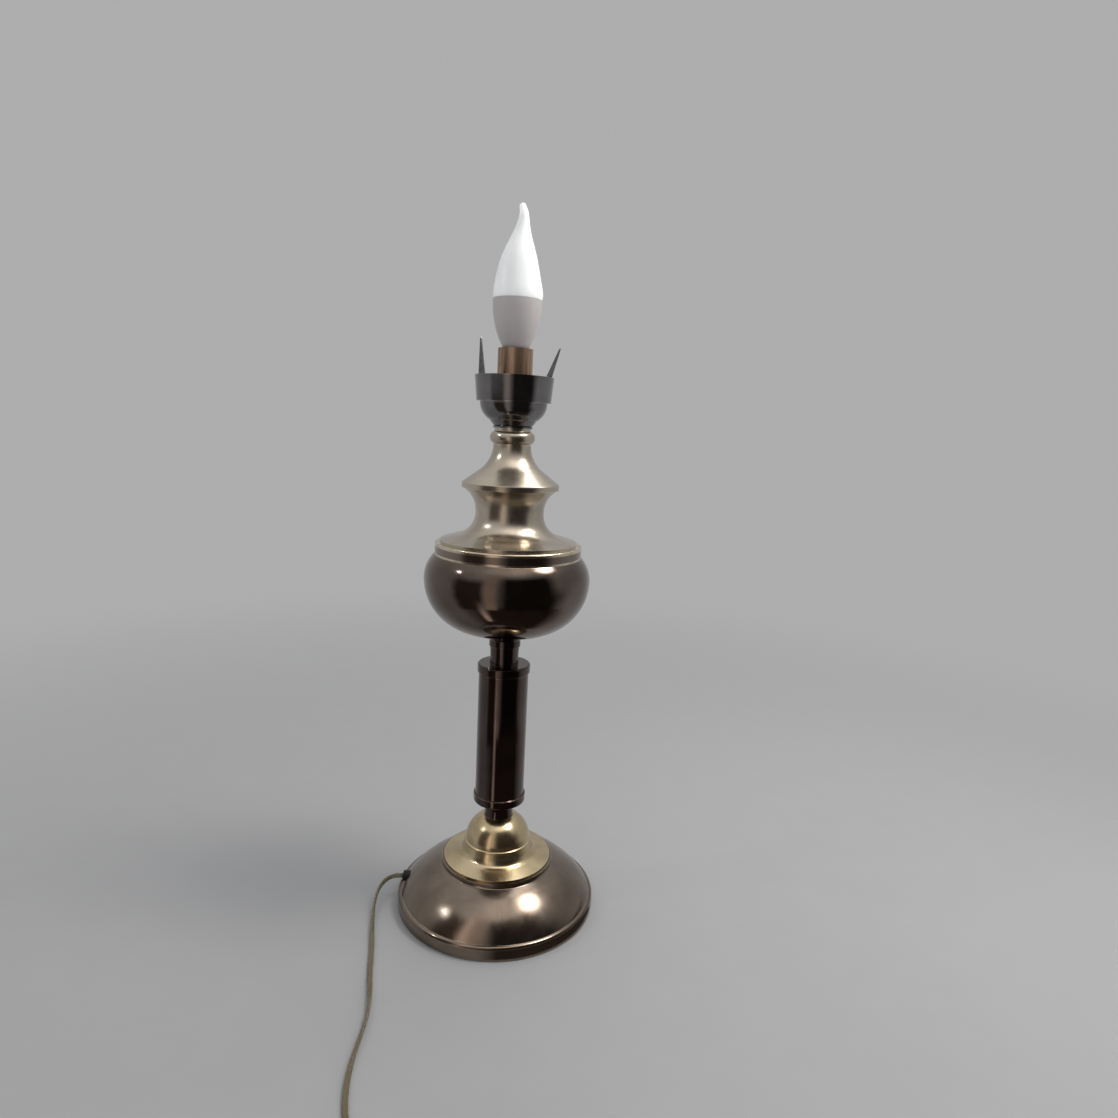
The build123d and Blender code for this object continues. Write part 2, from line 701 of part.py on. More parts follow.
# Each prong's foot is a strip curved and flared to the band; the blade above it leans out from a rounded root
PRONG_R = GALLERY_TOP_R - GALLERY_SHEET - PUSH_PLAY - PRONG_T / 2
PRONG_FOOT_R = PRONG_R - GALLERY_FLARE * PRONG_FOOT_H
PRONG_ANGLES = [PRONG_FIRST + 120 * index for index in range(3)]
Z_PRONG_ROOT = Z_RIM + PRONG_GAP + PRONG_T / 2
with BuildPart() as prong_feet:
    with BuildSketch(Plane.XZ):
        with BuildLine():
            Polyline(
                (PRONG_FOOT_R - PRONG_T / 2, Z_RIM - PRONG_FOOT_H),
                (PRONG_FOOT_R + PRONG_T / 2, Z_RIM - PRONG_FOOT_H),
                (PRONG_R + PRONG_T / 2, Z_RIM),
                (PRONG_R - PRONG_T / 2, Z_RIM),
                close=True,
            )
        make_face()
    revolve(axis=Axis.Z)
    with BuildSketch(Plane.XY.offset(Z_RIM - PRONG_FOOT_H)):
        with PolarLocations(PRONG_R, 3, PRONG_FIRST):
            Rectangle(PRONG_WIDTH, PRONG_WIDTH)
    extrude(amount=PRONG_FOOT_H, mode=Mode.INTERSECT)
save(prong_feet, "prong_feet")

for label, angle, lean, length in zip(PRONG_NAMES, PRONG_ANGLES, PRONG_LEANS, PRONG_LENGTHS):
    outward = Vector(cos(radians(angle)), sin(radians(angle)), 0)
    across = Vector(-sin(radians(angle)), cos(radians(angle)), 0)
    root = outward * PRONG_R + Vector(0, 0, Z_PRONG_ROOT)
    up_the_blade = outward * sin(radians(lean)) + Vector(0, 0, cos(radians(lean)))
    with BuildPart() as prong:
        with BuildSketch(Plane(origin=root, x_dir=across, z_dir=across.cross(up_the_blade))):
            with BuildLine():
                Polyline(
                    (-PRONG_WIDTH / 2, 0),
                    (PRONG_WIDTH / 2, 0),
                    (PRONG_TIP_WIDTH / 2, length - PRONG_TIP_WIDTH),
                    (0, length),
                    (-PRONG_TIP_WIDTH / 2, length - PRONG_TIP_WIDTH),
                    close=True,
                )
            make_face()
        extrude(amount=PRONG_T / 2, both=True)
        with BuildSketch(Plane(origin=root - across * (PRONG_WIDTH / 2), z_dir=across)):
            Circle(PRONG_T / 2)
        extrude(amount=PRONG_WIDTH)
    save(prong, label)

# Candle sleeve and lampholder
with BuildPart() as candle_sleeve:
    with BuildSketch(Plane.XY.offset(Z_CUP_FLOOR)):
        Circle(SLEEVE_R)
        Circle(SLEEVE_R - SLEEVE_T, mode=Mode.SUBTRACT)
    extrude(amount=Z_SLEEVE_TOP - Z_CUP_FLOOR)
save(candle_sleeve, "candle_sleeve")

INSERT_R = HOLDER_R - HOLDER_WALL - PUSH_PLAY
SHELL_INNER_R = BULB_CAP_R + THREAD_PLAY
SHELL_R = SHELL_INNER_R + SHELL_SHEET
with BuildPart() as lampholder_body:
    with BuildSketch(Plane.XY.offset(Z_HOLDER)):
        Circle(HOLDER_R)
    extrude(amount=Z_HOLDER_TOP - Z_HOLDER)
    with BuildSketch(Plane.XY.offset(Z_LEDGE)):
        Circle(HOLDER_R - HOLDER_WALL)
    extrude(amount=Z_HOLDER_TOP - Z_LEDGE, mode=Mode.SUBTRACT)
    with BuildSketch(Plane.XY.offset(Z_HOLDER + HOLDER_FLOOR)):
        Circle(HOLDER_R - HOLDER_WALL - LEDGE_W)
    extrude(amount=Z_LEDGE - Z_HOLDER - HOLDER_FLOOR, mode=Mode.SUBTRACT)
    with BuildSketch(Plane.XY.offset(Z_HOLDER)):
        Circle(ROD_R + PUSH_PLAY)
    extrude(amount=HOLDER_FLOOR, mode=Mode.SUBTRACT)
save(lampholder_body, "lampholder_body")

Z_TERMINAL = Z_LEDGE + WIRE_RECESS_H
Z_TERMINAL_SCREW = Z_TERMINAL + TERMINAL_SCREW_Z
TERMINAL_SIDES = (-1, 1)
with BuildPart() as lampholder_insert:
    with BuildSketch(Plane.XY.offset(Z_LEDGE)):
        Circle(INSERT_R)
    extrude(amount=Z_INSERT_TOP - Z_LEDGE)
    with BuildSketch(Plane.XY.offset(Z_LEDGE)):
        Circle(WIRE_RECESS_R)
    extrude(amount=WIRE_RECESS_H, mode=Mode.SUBTRACT)
    with BuildSketch(Plane.XY.offset(Z_SHELL)):
        Circle(SHELL_R + PUSH_PLAY / 2)
    extrude(amount=SHELL_H, mode=Mode.SUBTRACT)
    for side in TERMINAL_SIDES:
        with BuildSketch(Plane(origin=out_of_foot(0, side * TERMINAL_SPREAD, Z_TERMINAL))):
            Circle(WIRE_R + PUSH_PLAY)
        extrude(amount=TERMINAL_HOLE_H, mode=Mode.SUBTRACT)
        mouth = out_of_foot(0, side * INSERT_R, Z_TERMINAL_SCREW)
        with BuildSketch(Plane(origin=mouth, z_dir=BUSH_SIDE * -side)):
            Circle(TERMINAL_SCREW_R + PUSH_PLAY)
        extrude(amount=INSERT_R - TERMINAL_SPREAD, mode=Mode.SUBTRACT)
        with BuildSketch(Plane(origin=mouth, z_dir=BUSH_SIDE * -side)):
            Circle(TERMINAL_HEAD_R + PUSH_PLAY)
        extrude(amount=TERMINAL_HEAD_H + PUSH_PLAY, mode=Mode.SUBTRACT)
save(lampholder_insert, "lampholder_insert")

with BuildPart() as terminal_screws:
    for side in TERMINAL_SIDES:
        seat = out_of_foot(0, side * (INSERT_R - PUSH_PLAY), Z_TERMINAL_SCREW)
        with BuildSketch(Plane(origin=seat, z_dir=BUSH_SIDE * -side)):
            Circle(TERMINAL_HEAD_R)
        extrude(amount=TERMINAL_HEAD_H)
        with BuildSketch(Plane(origin=seat, z_dir=BUSH_SIDE * -side)):
            Circle(TERMINAL_SCREW_R)
        extrude(amount=INSERT_R - PUSH_PLAY - TERMINAL_SPREAD - WIRE_R - PUSH_PLAY)
save(terminal_screws, "terminal_screws")

with BuildPart() as lampholder_shell:
    with BuildSketch(Plane.XY.offset(Z_SHELL)):
        Circle(SHELL_R)
        Circle(SHELL_INNER_R, mode=Mode.SUBTRACT)
    extrude(amount=SHELL_H)
    with BuildSketch(Plane.XY.offset(Z_SHELL)):
        Circle(SHELL_R)
        Circle(SHELL_INNER_R - SHELL_LIP, mode=Mode.SUBTRACT)
    extrude(amount=SHELL_SHEET)
save(lampholder_shell, "lampholder_shell")

with BuildPart() as centre_contact:
    with BuildSketch(Plane.XZ):
        with BuildLine():
            Polyline(
                (-CONTACT_LENGTH / 2, Z_SHELL),
                (CONTACT_LENGTH / 2, Z_SHELL),
                (CONTACT_LENGTH / 2, Z_SHELL + CONTACT_T),
                (CONTACT_T - CONTACT_LENGTH / 2, Z_SHELL + CONTACT_T),
                (CONTACT_T - CONTACT_LENGTH / 2, Z_SHELL + CONTACT_H - 2 * CONTACT_T),
                (-TIP_R, Z_SHELL + CONTACT_H - CONTACT_T),
                (TIP_R, Z_SHELL + CONTACT_H - CONTACT_T),
                (TIP_R, Z_SHELL + CONTACT_H),
                (-TIP_R, Z_SHELL + CONTACT_H),
                (-CONTACT_LENGTH / 2, Z_SHELL + CONTACT_H - CONTACT_T),
                close=True,
            )
        make_face()
    extrude(amount=CONTACT_WIDTH / 2, both=True)
save(centre_contact, "centre_contact")

# The two cores part at the end of the inner cord, dip under the rod and climb through it to the terminals
WIRE_LOW_Z = (Z_COVER + COVER_T + Z_ROD_BOTTOM) / 2
for label, side in (("wire_live", 1), ("wire_neutral", -1)):
    near = side * WIRE_SPACING
    with BuildPart() as wire:
        with BuildLine() as way:
            FilletPolyline(
                out_of_foot(INNER_CORD_END_R, near, BUSH_Z),
                out_of_foot(INNER_CORD_END_R - 4 * WIRE_BEND, near, BUSH_Z),
                out_of_foot(ROD_WASHER_R + WIRE_BEND, near, WIRE_LOW_Z),
                out_of_foot(0, near, WIRE_LOW_Z),
                out_of_foot(0, near, Z_ROD_TOP),
                out_of_foot(0, side * TERMINAL_SPREAD, Z_TERMINAL - 2 * WIRE_R),
                out_of_foot(0, side * TERMINAL_SPREAD, Z_TERMINAL + TERMINAL_HOLE_H - WIRE_R),
                radius=(WIRE_BEND, WIRE_BEND, WIRE_BEND, WIRE_SPLAY_BEND, WIRE_SPLAY_BEND),
            )
        with BuildSketch(Plane(origin=way.line @ 0, z_dir=way.line % 0)):
            Circle(WIRE_R)
        sweep(path=way.line)
    save(wire, label)

# Bulb: contact, insulator and screw cap
with BuildPart() as bulb_tip_contact:
    with BuildSketch(Plane.XY.offset(Z_TIP)):
        Circle(TIP_R)
    extrude(amount=TIP_H)
    fillet(bulb_tip_contact.faces().sort_by(Axis.Z)[0].edges(), TIP_ROUND)
save(bulb_tip_contact, "bulb_tip_contact")

with BuildPart() as bulb_insulator:
    with BuildSketch(Plane.XZ):
        with BuildLine():
            Polyline(
                (0, Z_INSULATOR),
                (TIP_R + TIP_ROUND, Z_INSULATOR),
                (BULB_CAP_R - BULB_CAP_SHEET, Z_BULB_CAP),
                (0, Z_BULB_CAP),
                close=True,
            )
        make_face()
    revolve(axis=Axis.Z)
save(bulb_insulator, "bulb_insulator")

with BuildPart() as bulb_screw_cap:
    with BuildSketch(Plane.XY.offset(Z_BULB_CAP)):
        Circle(BULB_CAP_R)
    extrude(amount=BULB_CAP_H)
    with BuildSketch(Plane.XY.offset(Z_BULB_CAP + BULB_CAP_SHEET)):
        Circle(BULB_CAP_R - BULB_CAP_SHEET)
    extrude(amount=BULB_CAP_H - BULB_CAP_SHEET, mode=Mode.SUBTRACT)
save(bulb_screw_cap, "bulb_screw_cap")

# Bulb: housing, boards and diffuser
with BuildPart() as bulb_housing:
    with BuildSketch(Plane.XZ):
        with BuildLine():
            side = ThreePointArc(
                (HOUSING_BOTTOM_R, Z_HOUSING),
                (HOUSING_SIDE_R, Z_HOUSING + HOUSING_SIDE_Z),
                (BULB_R, Z_BULB_SEAM),
            )
            Polyline(side @ 1, (0, Z_BULB_SEAM), (0, Z_HOUSING), side @ 0)
        make_face()
    revolve(axis=Axis.Z)
    offset(amount=-BULB_WALL, openings=bulb_housing.faces().filter_by(Axis.Z).sort_by(Axis.Z)[-1])
    with BuildSketch(Plane.XY.offset(Z_HOUSING)):
        Circle(BULB_CAP_R - BULB_CAP_SHEET - PUSH_PLAY)
    extrude(amount=-HOUSING_NECK_H)
save(bulb_housing, "bulb_housing")

BOARD_R = BULB_R - BULB_WALL - BOARD_PLAY
Z_BOARD = Z_BULB_SEAM - BOARD_T
with BuildPart() as bulb_led_board:
    with BuildSketch(Plane.XY.offset(Z_BOARD)):
        Circle(BOARD_R)
    extrude(amount=BOARD_T)
save(bulb_led_board, "bulb_led_board")

with BuildPart() as bulb_leds:
    with BuildSketch(Plane.XY.offset(Z_BULB_SEAM)):
        with PolarLocations(LED_RING_R, LED_COUNT):
            Rectangle(LED_SIDE, LED_SIDE)
    extrude(amount=LED_H)
save(bulb_leds, "bulb_leds")

Z_DRIVER = Z_HOUSING + DRIVER_LIFT
with BuildPart() as bulb_driver:
    with BuildSketch(Plane.XZ):
        with Locations((0, Z_DRIVER + DRIVER_H / 2)):
            Rectangle(DRIVER_WIDTH, DRIVER_H)
    extrude(amount=DRIVER_T / 2, both=True)
    with BuildSketch(Plane.XZ.offset(DRIVER_T / 2)):
        with Locations((0, Z_DRIVER + DRIVER_H - COIL_CAN_R * 2)):
            Circle(COIL_CAN_R)
    extrude(amount=COIL_CAN_H)
    with BuildSketch(Plane.XZ.offset(-DRIVER_T / 2)):
        with Locations((0, Z_DRIVER + DRIVER_H - COIL_CAN_R)):
            Rectangle(DRIVER_WIDTH / 2, COIL_CAN_R)
    extrude(amount=-COIL_CAN_R)
    with BuildSketch(Plane.XY.offset(Z_DRIVER + DRIVER_H)):
        Rectangle(DRIVER_WIDTH / 3, DRIVER_T)
    extrude(amount=Z_BOARD - Z_DRIVER - DRIVER_H)
save(bulb_driver, "bulb_driver")

# The flame leans to the right up its neck and its tip bends back: height above the seam, radius, lean
FLAME_SECTIONS = [
    (0, BULB_R, 0),
    (13.8, 17.4, 0),
    (28.6, 14.0, 0.1),
    (41.5, 9.4, 0.9),
    (52.6, 5.4, 2.1),
    (60.0, 3.8, 2.6),
    (FLAME_TIP_Z, FLAME_TIP_R, FLAME_TIP_LEAN),
]
with BuildPart() as bulb_diffuser:
    for height, radius, lean in FLAME_SECTIONS:
        with BuildSketch(Plane.XY.offset(Z_BULB_SEAM + height)):
            with Locations((lean, 0)):
                Circle(radius)
    loft()
    with Locations((FLAME_TIP_LEAN, 0, Z_BULB_SEAM + FLAME_TIP_Z)):
        Sphere(FLAME_TIP_R)
    with BuildPart(mode=Mode.PRIVATE) as hollow:
        for height, radius, lean in FLAME_SECTIONS[:-1]:
            with BuildSketch(Plane.XY.offset(Z_BULB_SEAM + height)):
                with Locations((lean, 0)):
                    Circle(radius - BULB_WALL)
        loft()
    add(hollow.part, mode=Mode.SUBTRACT)
save(bulb_diffuser, "bulb_diffuser")

# Cord lead: out of the bush, down to the floor, round the foot's left side and on to the switch
LEAD_Z = CORD_R + FLOOR_GAP
LEAD_ROUTE = [
    out_of_foot(BUSH_TIP_R, 0, BUSH_Z),
    out_of_foot(BUSH_TIP_R + 2 * CORD_D, 0, BUSH_Z),
    Vector(-95.6, 4.2, 11.6),
    Vector(-100.2, -4.6, 7.6),
    Vector(-100.8, -17.0, 3.8),
    Vector(-99.2, -33.0, LEAD_Z),
    Vector(-96.6, -51.0, LEAD_Z),
    Vector(-93.2, -72.0, LEAD_Z),
    Vector(-90.4, -95.0, LEAD_Z),
    Vector(-86.2, -117.0, LEAD_Z),
    Vector(-83.8, -137.0, LEAD_Z),
    Vector(-85.4, -158.0, LEAD_Z),
    Vector(-87.2, -181.0, LEAD_Z),
    Vector(-85.6, -204.0, LEAD_Z),
    Vector(-80.0, -224.0, LEAD_Z),
    Vector(-70.0, -239.0, LEAD_Z),
    Vector(-57.2, -248.2, 4.4),
    Vector(SWITCH_START_X - 9.0, SWITCH_Y, SWITCH_CORD_Z),
    Vector(SWITCH_START_X + SWITCH_GRIP, SWITCH_Y, SWITCH_CORD_Z),
]
ARC_SHARE = 0.45


def corner_radii(points):
    """The largest arc at each corner that leaves a short straight in both of its runs."""
    radii = []
    for before, here, after in zip(points, points[1:], points[2:]):
        arriving = here - before
        leaving = after - here
        half_turn = radians(arriving.get_angle(leaving)) / 2
        radii.append(ARC_SHARE * min(arriving.length, leaving.length) / tan(half_turn))
    return radii


lead_radii = corner_radii(LEAD_ROUTE)
print("cord lead radii", [round(radius, 1) for radius in lead_radii])
with BuildPart() as cord_lead:
    with BuildLine() as way:
        FilletPolyline(*LEAD_ROUTE, radius=lead_radii)
    with BuildSketch(Plane(origin=way.line @ 0, z_dir=way.line % 0)):
        Circle(CORD_R)
    sweep(path=way.line)
lead_length = way.wires()[0].length
print("cord lead length", round(lead_length, 1))
print("cord lead volume over section times length", round(cord_lead.part.volume / (pi * CORD_R**2 * lead_length), 4))
save(cord_lead, "cord_lead")

# Coil: in along the lower layer, up in the half turn at the middle, out along the upper layer
COIL_LOW_Z = TIE_T + TIE_PLAY + CORD_R
COIL_END = 2 * COIL_TURNS + 0.5
COIL_MIDDLE = COIL_END / 2
COIL_CLIMB = 0.25
COIL_INNER_R = COIL_R - COIL_STEP * COIL_MIDDLE
STATIONS_PER_TURN = 4


def coil_place(turns):
    """Point and direction of the coil after so many turns, clockwise from the back of the coil."""
    radius = COIL_R - COIL_STEP * min(turns, COIL_END - turns)
    pull = COIL_STEP * ((turns > COIL_MIDDLE) - (turns < COIL_MIDDLE))
    if turns in (0, COIL_END):
        pull = 0
    climb = (turns > COIL_MIDDLE) * COIL_LAYER
    rise = 0
    if turns == COIL_MIDDLE:
        climb = COIL_LAYER / 2
        rise = COIL_LAYER / COIL_CLIMB
    angle = pi / 2 - 2 * pi * turns
    outward = Vector(cos(angle), sin(angle), 0)
    onward = Vector(sin(angle), -cos(angle), 0)
    middle = Vector(COIL_X, COIL_Y, COIL_LOW_Z + climb)
    return middle + outward * radius, (onward * (2 * pi * radius) + outward * pull + Vector(0, 0, rise)).normalized()


def biarc_joint(start, start_way, end, end_way):
    """The point where two arcs meet smoothly between two points with given directions."""
    span = end - start
    ways = start_way + end_way
    along = span.dot(ways)
    spread = 2 * (1 - start_way.dot(end_way))
    if spread < 1e-9:
        reach = span.dot(span) / (4 * span.dot(start_way))
    else:
        reach = (sqrt(along**2 + spread * span.dot(span)) - along) / spread
    return (start + end + (start_way - end_way) * reach) / 2


coil_stations = [coil_place(step / STATIONS_PER_TURN) for step in range(int(COIL_END * STATIONS_PER_TURN) + 1)]
switch_side = (Vector(SWITCH_END_X + CORD_D, SWITCH_Y, SWITCH_CORD_Z), Vector(1, 0, 0))
plug_side = (Vector(RELIEF_X + CORD_D, PLUG_Y, PLUG_Z), Vector(-1, 0, 0))
coil_stations = [switch_side] + coil_stations + [plug_side]
with BuildPart() as cord_coil:
    with BuildLine() as way:
        Line((SWITCH_END_X - SWITCH_GRIP, SWITCH_Y, SWITCH_CORD_Z), coil_stations[0][0])
        for (start, start_way), (end, end_way) in zip(coil_stations, coil_stations[1:]):
            joint = biarc_joint(start, start_way, end, end_way)
            first = TangentArc(start, joint, tangent=start_way)
            TangentArc(joint, end, tangent=first % 1)
        Line(coil_stations[-1][0], (RELIEF_X, PLUG_Y, PLUG_Z))
    with BuildSketch(Plane(origin=way.line @ 0, z_dir=way.line % 0)):
        Circle(CORD_R)
    sweep(path=way.line)
coil_way = way.wires()[0]
coil_length = coil_way.length
GAP_POINTS = 1500
coil_points = [coil_way @ (step / GAP_POINTS) for step in range(GAP_POINTS + 1)]
NEIGHBOURS = int(2 * CORD_D * GAP_POINTS / coil_length)
least_gap = min(
    (coil_points[one] - coil_points[other]).length - CORD_D
    for one in range(GAP_POINTS + 1)
    for other in range(one + NEIGHBOURS, GAP_POINTS + 1)
)
print("cord coil length", round(coil_length, 1), "least gap to itself", round(least_gap, 2))
print("cord coil volume over section times length", round(cord_coil.part.volume / (pi * CORD_R**2 * coil_length), 4))
print("whole cord", round(lead_length + coil_length + SWITCH_LENGTH - 2 * SWITCH_GRIP, 1))
save(cord_coil, "cord_coil")

TIE_IN = sqrt((COIL_INNER_R - CORD_R) ** 2 - (TIE_WIDTH / 2) ** 2) - TIE_PLAY - TIE_T
TIE_OUT = COIL_R - COIL_STEP / STATIONS_PER_TURN + CORD_R + TIE_PLAY + TIE_T
TIE_TOP = COIL_LOW_Z + COIL_LAYER + CORD_R + TIE_PLAY + TIE_T
with BuildPart() as cord_tie:
    with BuildSketch(Plane.XZ.offset(-COIL_Y)):
        with Locations((COIL_X + (TIE_IN + TIE_OUT) / 2, TIE_TOP / 2)):
            RectangleRounded(TIE_OUT - TIE_IN, TIE_TOP, 2 * TIE_T)
            RectangleRounded(TIE_OUT - TIE_IN - 2 * TIE_T, TIE_TOP - 2 * TIE_T, TIE_T, mode=Mode.SUBTRACT)
    extrude(amount=TIE_WIDTH / 2, both=True)
save(cord_tie, "cord_tie")

# In-line switch: base and cover meet on the cord's axis
Z_ROCKER = SWITCH_TOP - ROCKER_BELOW_TOP
SWITCH_MIDDLE = Vector(SWITCH_X, SWITCH_Y, 0)
POST_PLACES = [(SWITCH_X + end * SWITCH_SCREW_PITCH / 2, SWITCH_Y + end * SWITCH_SCREW_Y) for end in (-1, 1)]
with BuildPart() as switch_base:
    with BuildSketch(Plane(origin=SWITCH_MIDDLE)):
        RectangleRounded(SWITCH_LENGTH, SWITCH_WIDTH, SWITCH_CORNER)
    extrude(amount=SWITCH_BASE_H)
    fillet(switch_base.faces().sort_by(Axis.Z)[0].edges(), SWITCH_WALL / 2)
    with BuildSketch(Plane(origin=SWITCH_MIDDLE + Vector(0, 0, SWITCH_WALL))):
        RectangleRounded(
            SWITCH_LENGTH - 2 * SWITCH_WALL, SWITCH_WIDTH - 2 * SWITCH_WALL, SWITCH_CORNER - SWITCH_WALL
        )
    extrude(amount=SWITCH_BASE_H - SWITCH_WALL, mode=Mode.SUBTRACT)
    with BuildSketch(Plane.XY.offset(SWITCH_WALL)):
        with Locations(*POST_PLACES):
            Circle(SWITCH_POST_R)
    extrude(amount=SWITCH_BASE_H - SWITCH_WALL)
    with BuildSketch():
        with Locations(*POST_PLACES):
            Circle(SWITCH_SCREW_R + PUSH_PLAY)
    extrude(amount=SWITCH_BASE_H, mode=Mode.SUBTRACT)
    with BuildSketch():
        with Locations(*POST_PLACES):
            Circle(SCREW_HEAD_R - SWITCH_SCREW_R / 2 + PUSH_PLAY)
    extrude(amount=SCREW_HEAD_H, mode=Mode.SUBTRACT)
    with BuildSketch(Plane.YZ.offset(SWITCH_START_X)):
        with Locations((SWITCH_Y, SWITCH_CORD_Z)):
            Circle(CORD_R + PUSH_PLAY)
    extrude(amount=SWITCH_LENGTH, mode=Mode.SUBTRACT)
save(switch_base, "switch_base")

with BuildPart() as switch_cover:
    with BuildSketch(Plane(origin=SWITCH_MIDDLE + Vector(0, 0, SWITCH_BASE_H))):
        RectangleRounded(SWITCH_LENGTH, SWITCH_WIDTH, SWITCH_CORNER)
    extrude(amount=SWITCH_COVER_H)
    fillet(switch_cover.faces().sort_by(Axis.Z)[-1].edges(), SWITCH_EDGE)
    with BuildSketch(Plane(origin=SWITCH_MIDDLE + Vector(0, 0, SWITCH_BASE_H))):
        RectangleRounded(
            SWITCH_LENGTH - 2 * SWITCH_WALL, SWITCH_WIDTH - 2 * SWITCH_WALL, SWITCH_CORNER - SWITCH_WALL
        )
    extrude(amount=SWITCH_COVER_H - SWITCH_WALL - SWITCH_EDGE / 2, mode=Mode.SUBTRACT)
    with BuildSketch(Plane(origin=SWITCH_MIDDLE + Vector(0, 0, SWITCH_TOP))):
        Rectangle(2 * (ROCKER_R + ROCKER_PLAY), ROCKER_W + 2 * ROCKER_PLAY)
    extrude(amount=-SWITCH_COVER_H, mode=Mode.SUBTRACT)
    with BuildSketch(Plane(origin=SWITCH_MIDDLE + Vector(0, 0, Z_ROCKER - BEARING_DROP))):
        with GridLocations(0, ROCKER_W + 2 * ROCKER_PLAY + TRUNNION_L, 1, 2):
            Rectangle(BEARING_W, TRUNNION_L)
    extrude(amount=SWITCH_TOP - SWITCH_WALL - Z_ROCKER + BEARING_DROP)
    with BuildSketch(Plane.XZ.offset(-SWITCH_Y)):
        with Locations((SWITCH_X, Z_ROCKER)):
            Circle(TRUNNION_R + TURN_PLAY)
    extrude(amount=ROCKER_W / 2 + ROCKER_PLAY + TRUNNION_L, both=True, mode=Mode.SUBTRACT)
    with BuildSketch(Plane.XY.offset(SWITCH_BASE_H)):
        with Locations(*POST_PLACES):
            Circle(SWITCH_POST_R)
    extrude(amount=SWITCH_COVER_H - SWITCH_WALL)
    with BuildSketch(Plane.XY.offset(SWITCH_BASE_H)):
        with Locations(*POST_PLACES):
            Circle(SWITCH_SCREW_R + PUSH_PLAY)
    extrude(amount=SWITCH_COVER_H - 2 * SWITCH_WALL, mode=Mode.SUBTRACT)
    with BuildSketch(Plane.YZ.offset(SWITCH_START_X)):
        with Locations((SWITCH_Y, SWITCH_CORD_Z)):
            Circle(CORD_R + PUSH_PLAY)
    extrude(amount=SWITCH_GRIP, mode=Mode.SUBTRACT)
    with BuildSketch(Plane.YZ.offset(SWITCH_END_X)):
        with Locations((SWITCH_Y, SWITCH_CORD_Z)):
            Circle(CORD_R + PUSH_PLAY)
    extrude(amount=-SWITCH_GRIP, mode=Mode.SUBTRACT)
save(switch_cover, "switch_cover")


def rocker_point(radius, angle):
    """A point of the rocker's side view, turned to its resting tilt about the trunnions."""
    turned = radians(angle - ROCKER_TILT)
    return (SWITCH_X + radius * cos(turned), Z_ROCKER + radius * sin(turned))


with BuildPart() as switch_rocker:
    with BuildSketch(Plane.XZ.offset(-SWITCH_Y)):
        with BuildLine():
            right = ThreePointArc(
                rocker_point(ROCKER_R, ROCKER_SIDE_ANGLE),
                rocker_point(ROCKER_R, (ROCKER_SIDE_ANGLE + ROCKER_TOP_ANGLE) / 2),
                rocker_point(ROCKER_R, ROCKER_TOP_ANGLE),
            )
            top = Polyline(
                right @ 1, rocker_point(ROCKER_DIP, 90), rocker_point(ROCKER_R, 180 - ROCKER_TOP_ANGLE)
            )
            left = ThreePointArc(
                top @ 1,
                rocker_point(ROCKER_R, 180 - (ROCKER_SIDE_ANGLE + ROCKER_TOP_ANGLE) / 2),
                rocker_point(ROCKER_R, 180 - ROCKER_SIDE_ANGLE),
            )
            Polyline(left @ 1, rocker_point(ROCKER_HUB_R, 180 + 45), rocker_point(ROCKER_HUB_R, -45), right @ 0)
        make_face()
    extrude(amount=ROCKER_W / 2, both=True)
    with BuildSketch(Plane.XZ.offset(-SWITCH_Y)):
        with Locations((SWITCH_X, Z_ROCKER)):
            Circle(TRUNNION_R)
    extrude(amount=ROCKER_W / 2 + ROCKER_PLAY + TRUNNION_L, both=True)
save(switch_rocker, "switch_rocker")

with BuildPart() as switch_screws:
    with BuildSketch(Plane.XY.offset(PUSH_PLAY)):
        with Locations(*POST_PLACES):
            Circle(SCREW_HEAD_R - SWITCH_SCREW_R / 2)
    extrude(amount=SCREW_HEAD_H - PUSH_PLAY)
    with BuildSketch(Plane.XY.offset(PUSH_PLAY)):
        with Locations(*POST_PLACES):
            Circle(SWITCH_SCREW_R)
    extrude(amount=SWITCH_BASE_H + SWITCH_COVER_H / 2)
save(switch_screws, "switch_screws")

with BuildPart() as switch_contacts:
    with BuildSketch(Plane(origin=SWITCH_MIDDLE + Vector(0, 0, SWITCH_WALL))):
        with GridLocations(SWITCH_CONTACT * 3, 0, 2, 1):
            Rectangle(SWITCH_CONTACT, SWITCH_CONTACT)
    extrude(amount=SWITCH_BASE_H - 2 * SWITCH_WALL)
save(switch_contacts, "switch_contacts")

# Plug
with BuildPart() as plug_body:
    with BuildSketch(Plane(origin=(PLUG_X, PLUG_Y, 0))):
        with BuildLine():
            Polyline(
                (0, -PLUG_TAIL_W / 2),
                (0, PLUG_TAIL_W / 2),
                (-PLUG_WAIST_X, PLUG_WAIST_W / 2),
                (-PLUG_LENGTH, PLUG_FRONT_W / 2),
                (-PLUG_LENGTH, -PLUG_FRONT_W / 2),
                (-PLUG_WAIST_X, -PLUG_WAIST_W / 2),
                close=True,
            )
        make_face()
    extrude(amount=PLUG_T)
    fillet(plug_body.edges().filter_by(Axis.Z).sort_by(Axis.X)[:4], PLUG_EDGE)
    flats = plug_body.faces().filter_by(Axis.Z)
    fillet(flats.edges(), PLUG_EDGE / 2)
save(plug_body, "plug_body")

with BuildPart() as plug_pins:
    with BuildSketch(Plane(origin=(PIN_X, PLUG_Y, PLUG_Z), x_dir=(0, 1, 0), z_dir=(-1, 0, 0))):
        with GridLocations(PIN_PITCH, 0, 2, 1):
            Circle(PIN_R)
    extrude(amount=PIN_L)
    fillet(plug_pins.faces().filter_by(Axis.X).sort_by(Axis.X)[:2].edges(), PIN_ROUND)
save(plug_pins, "plug_pins")

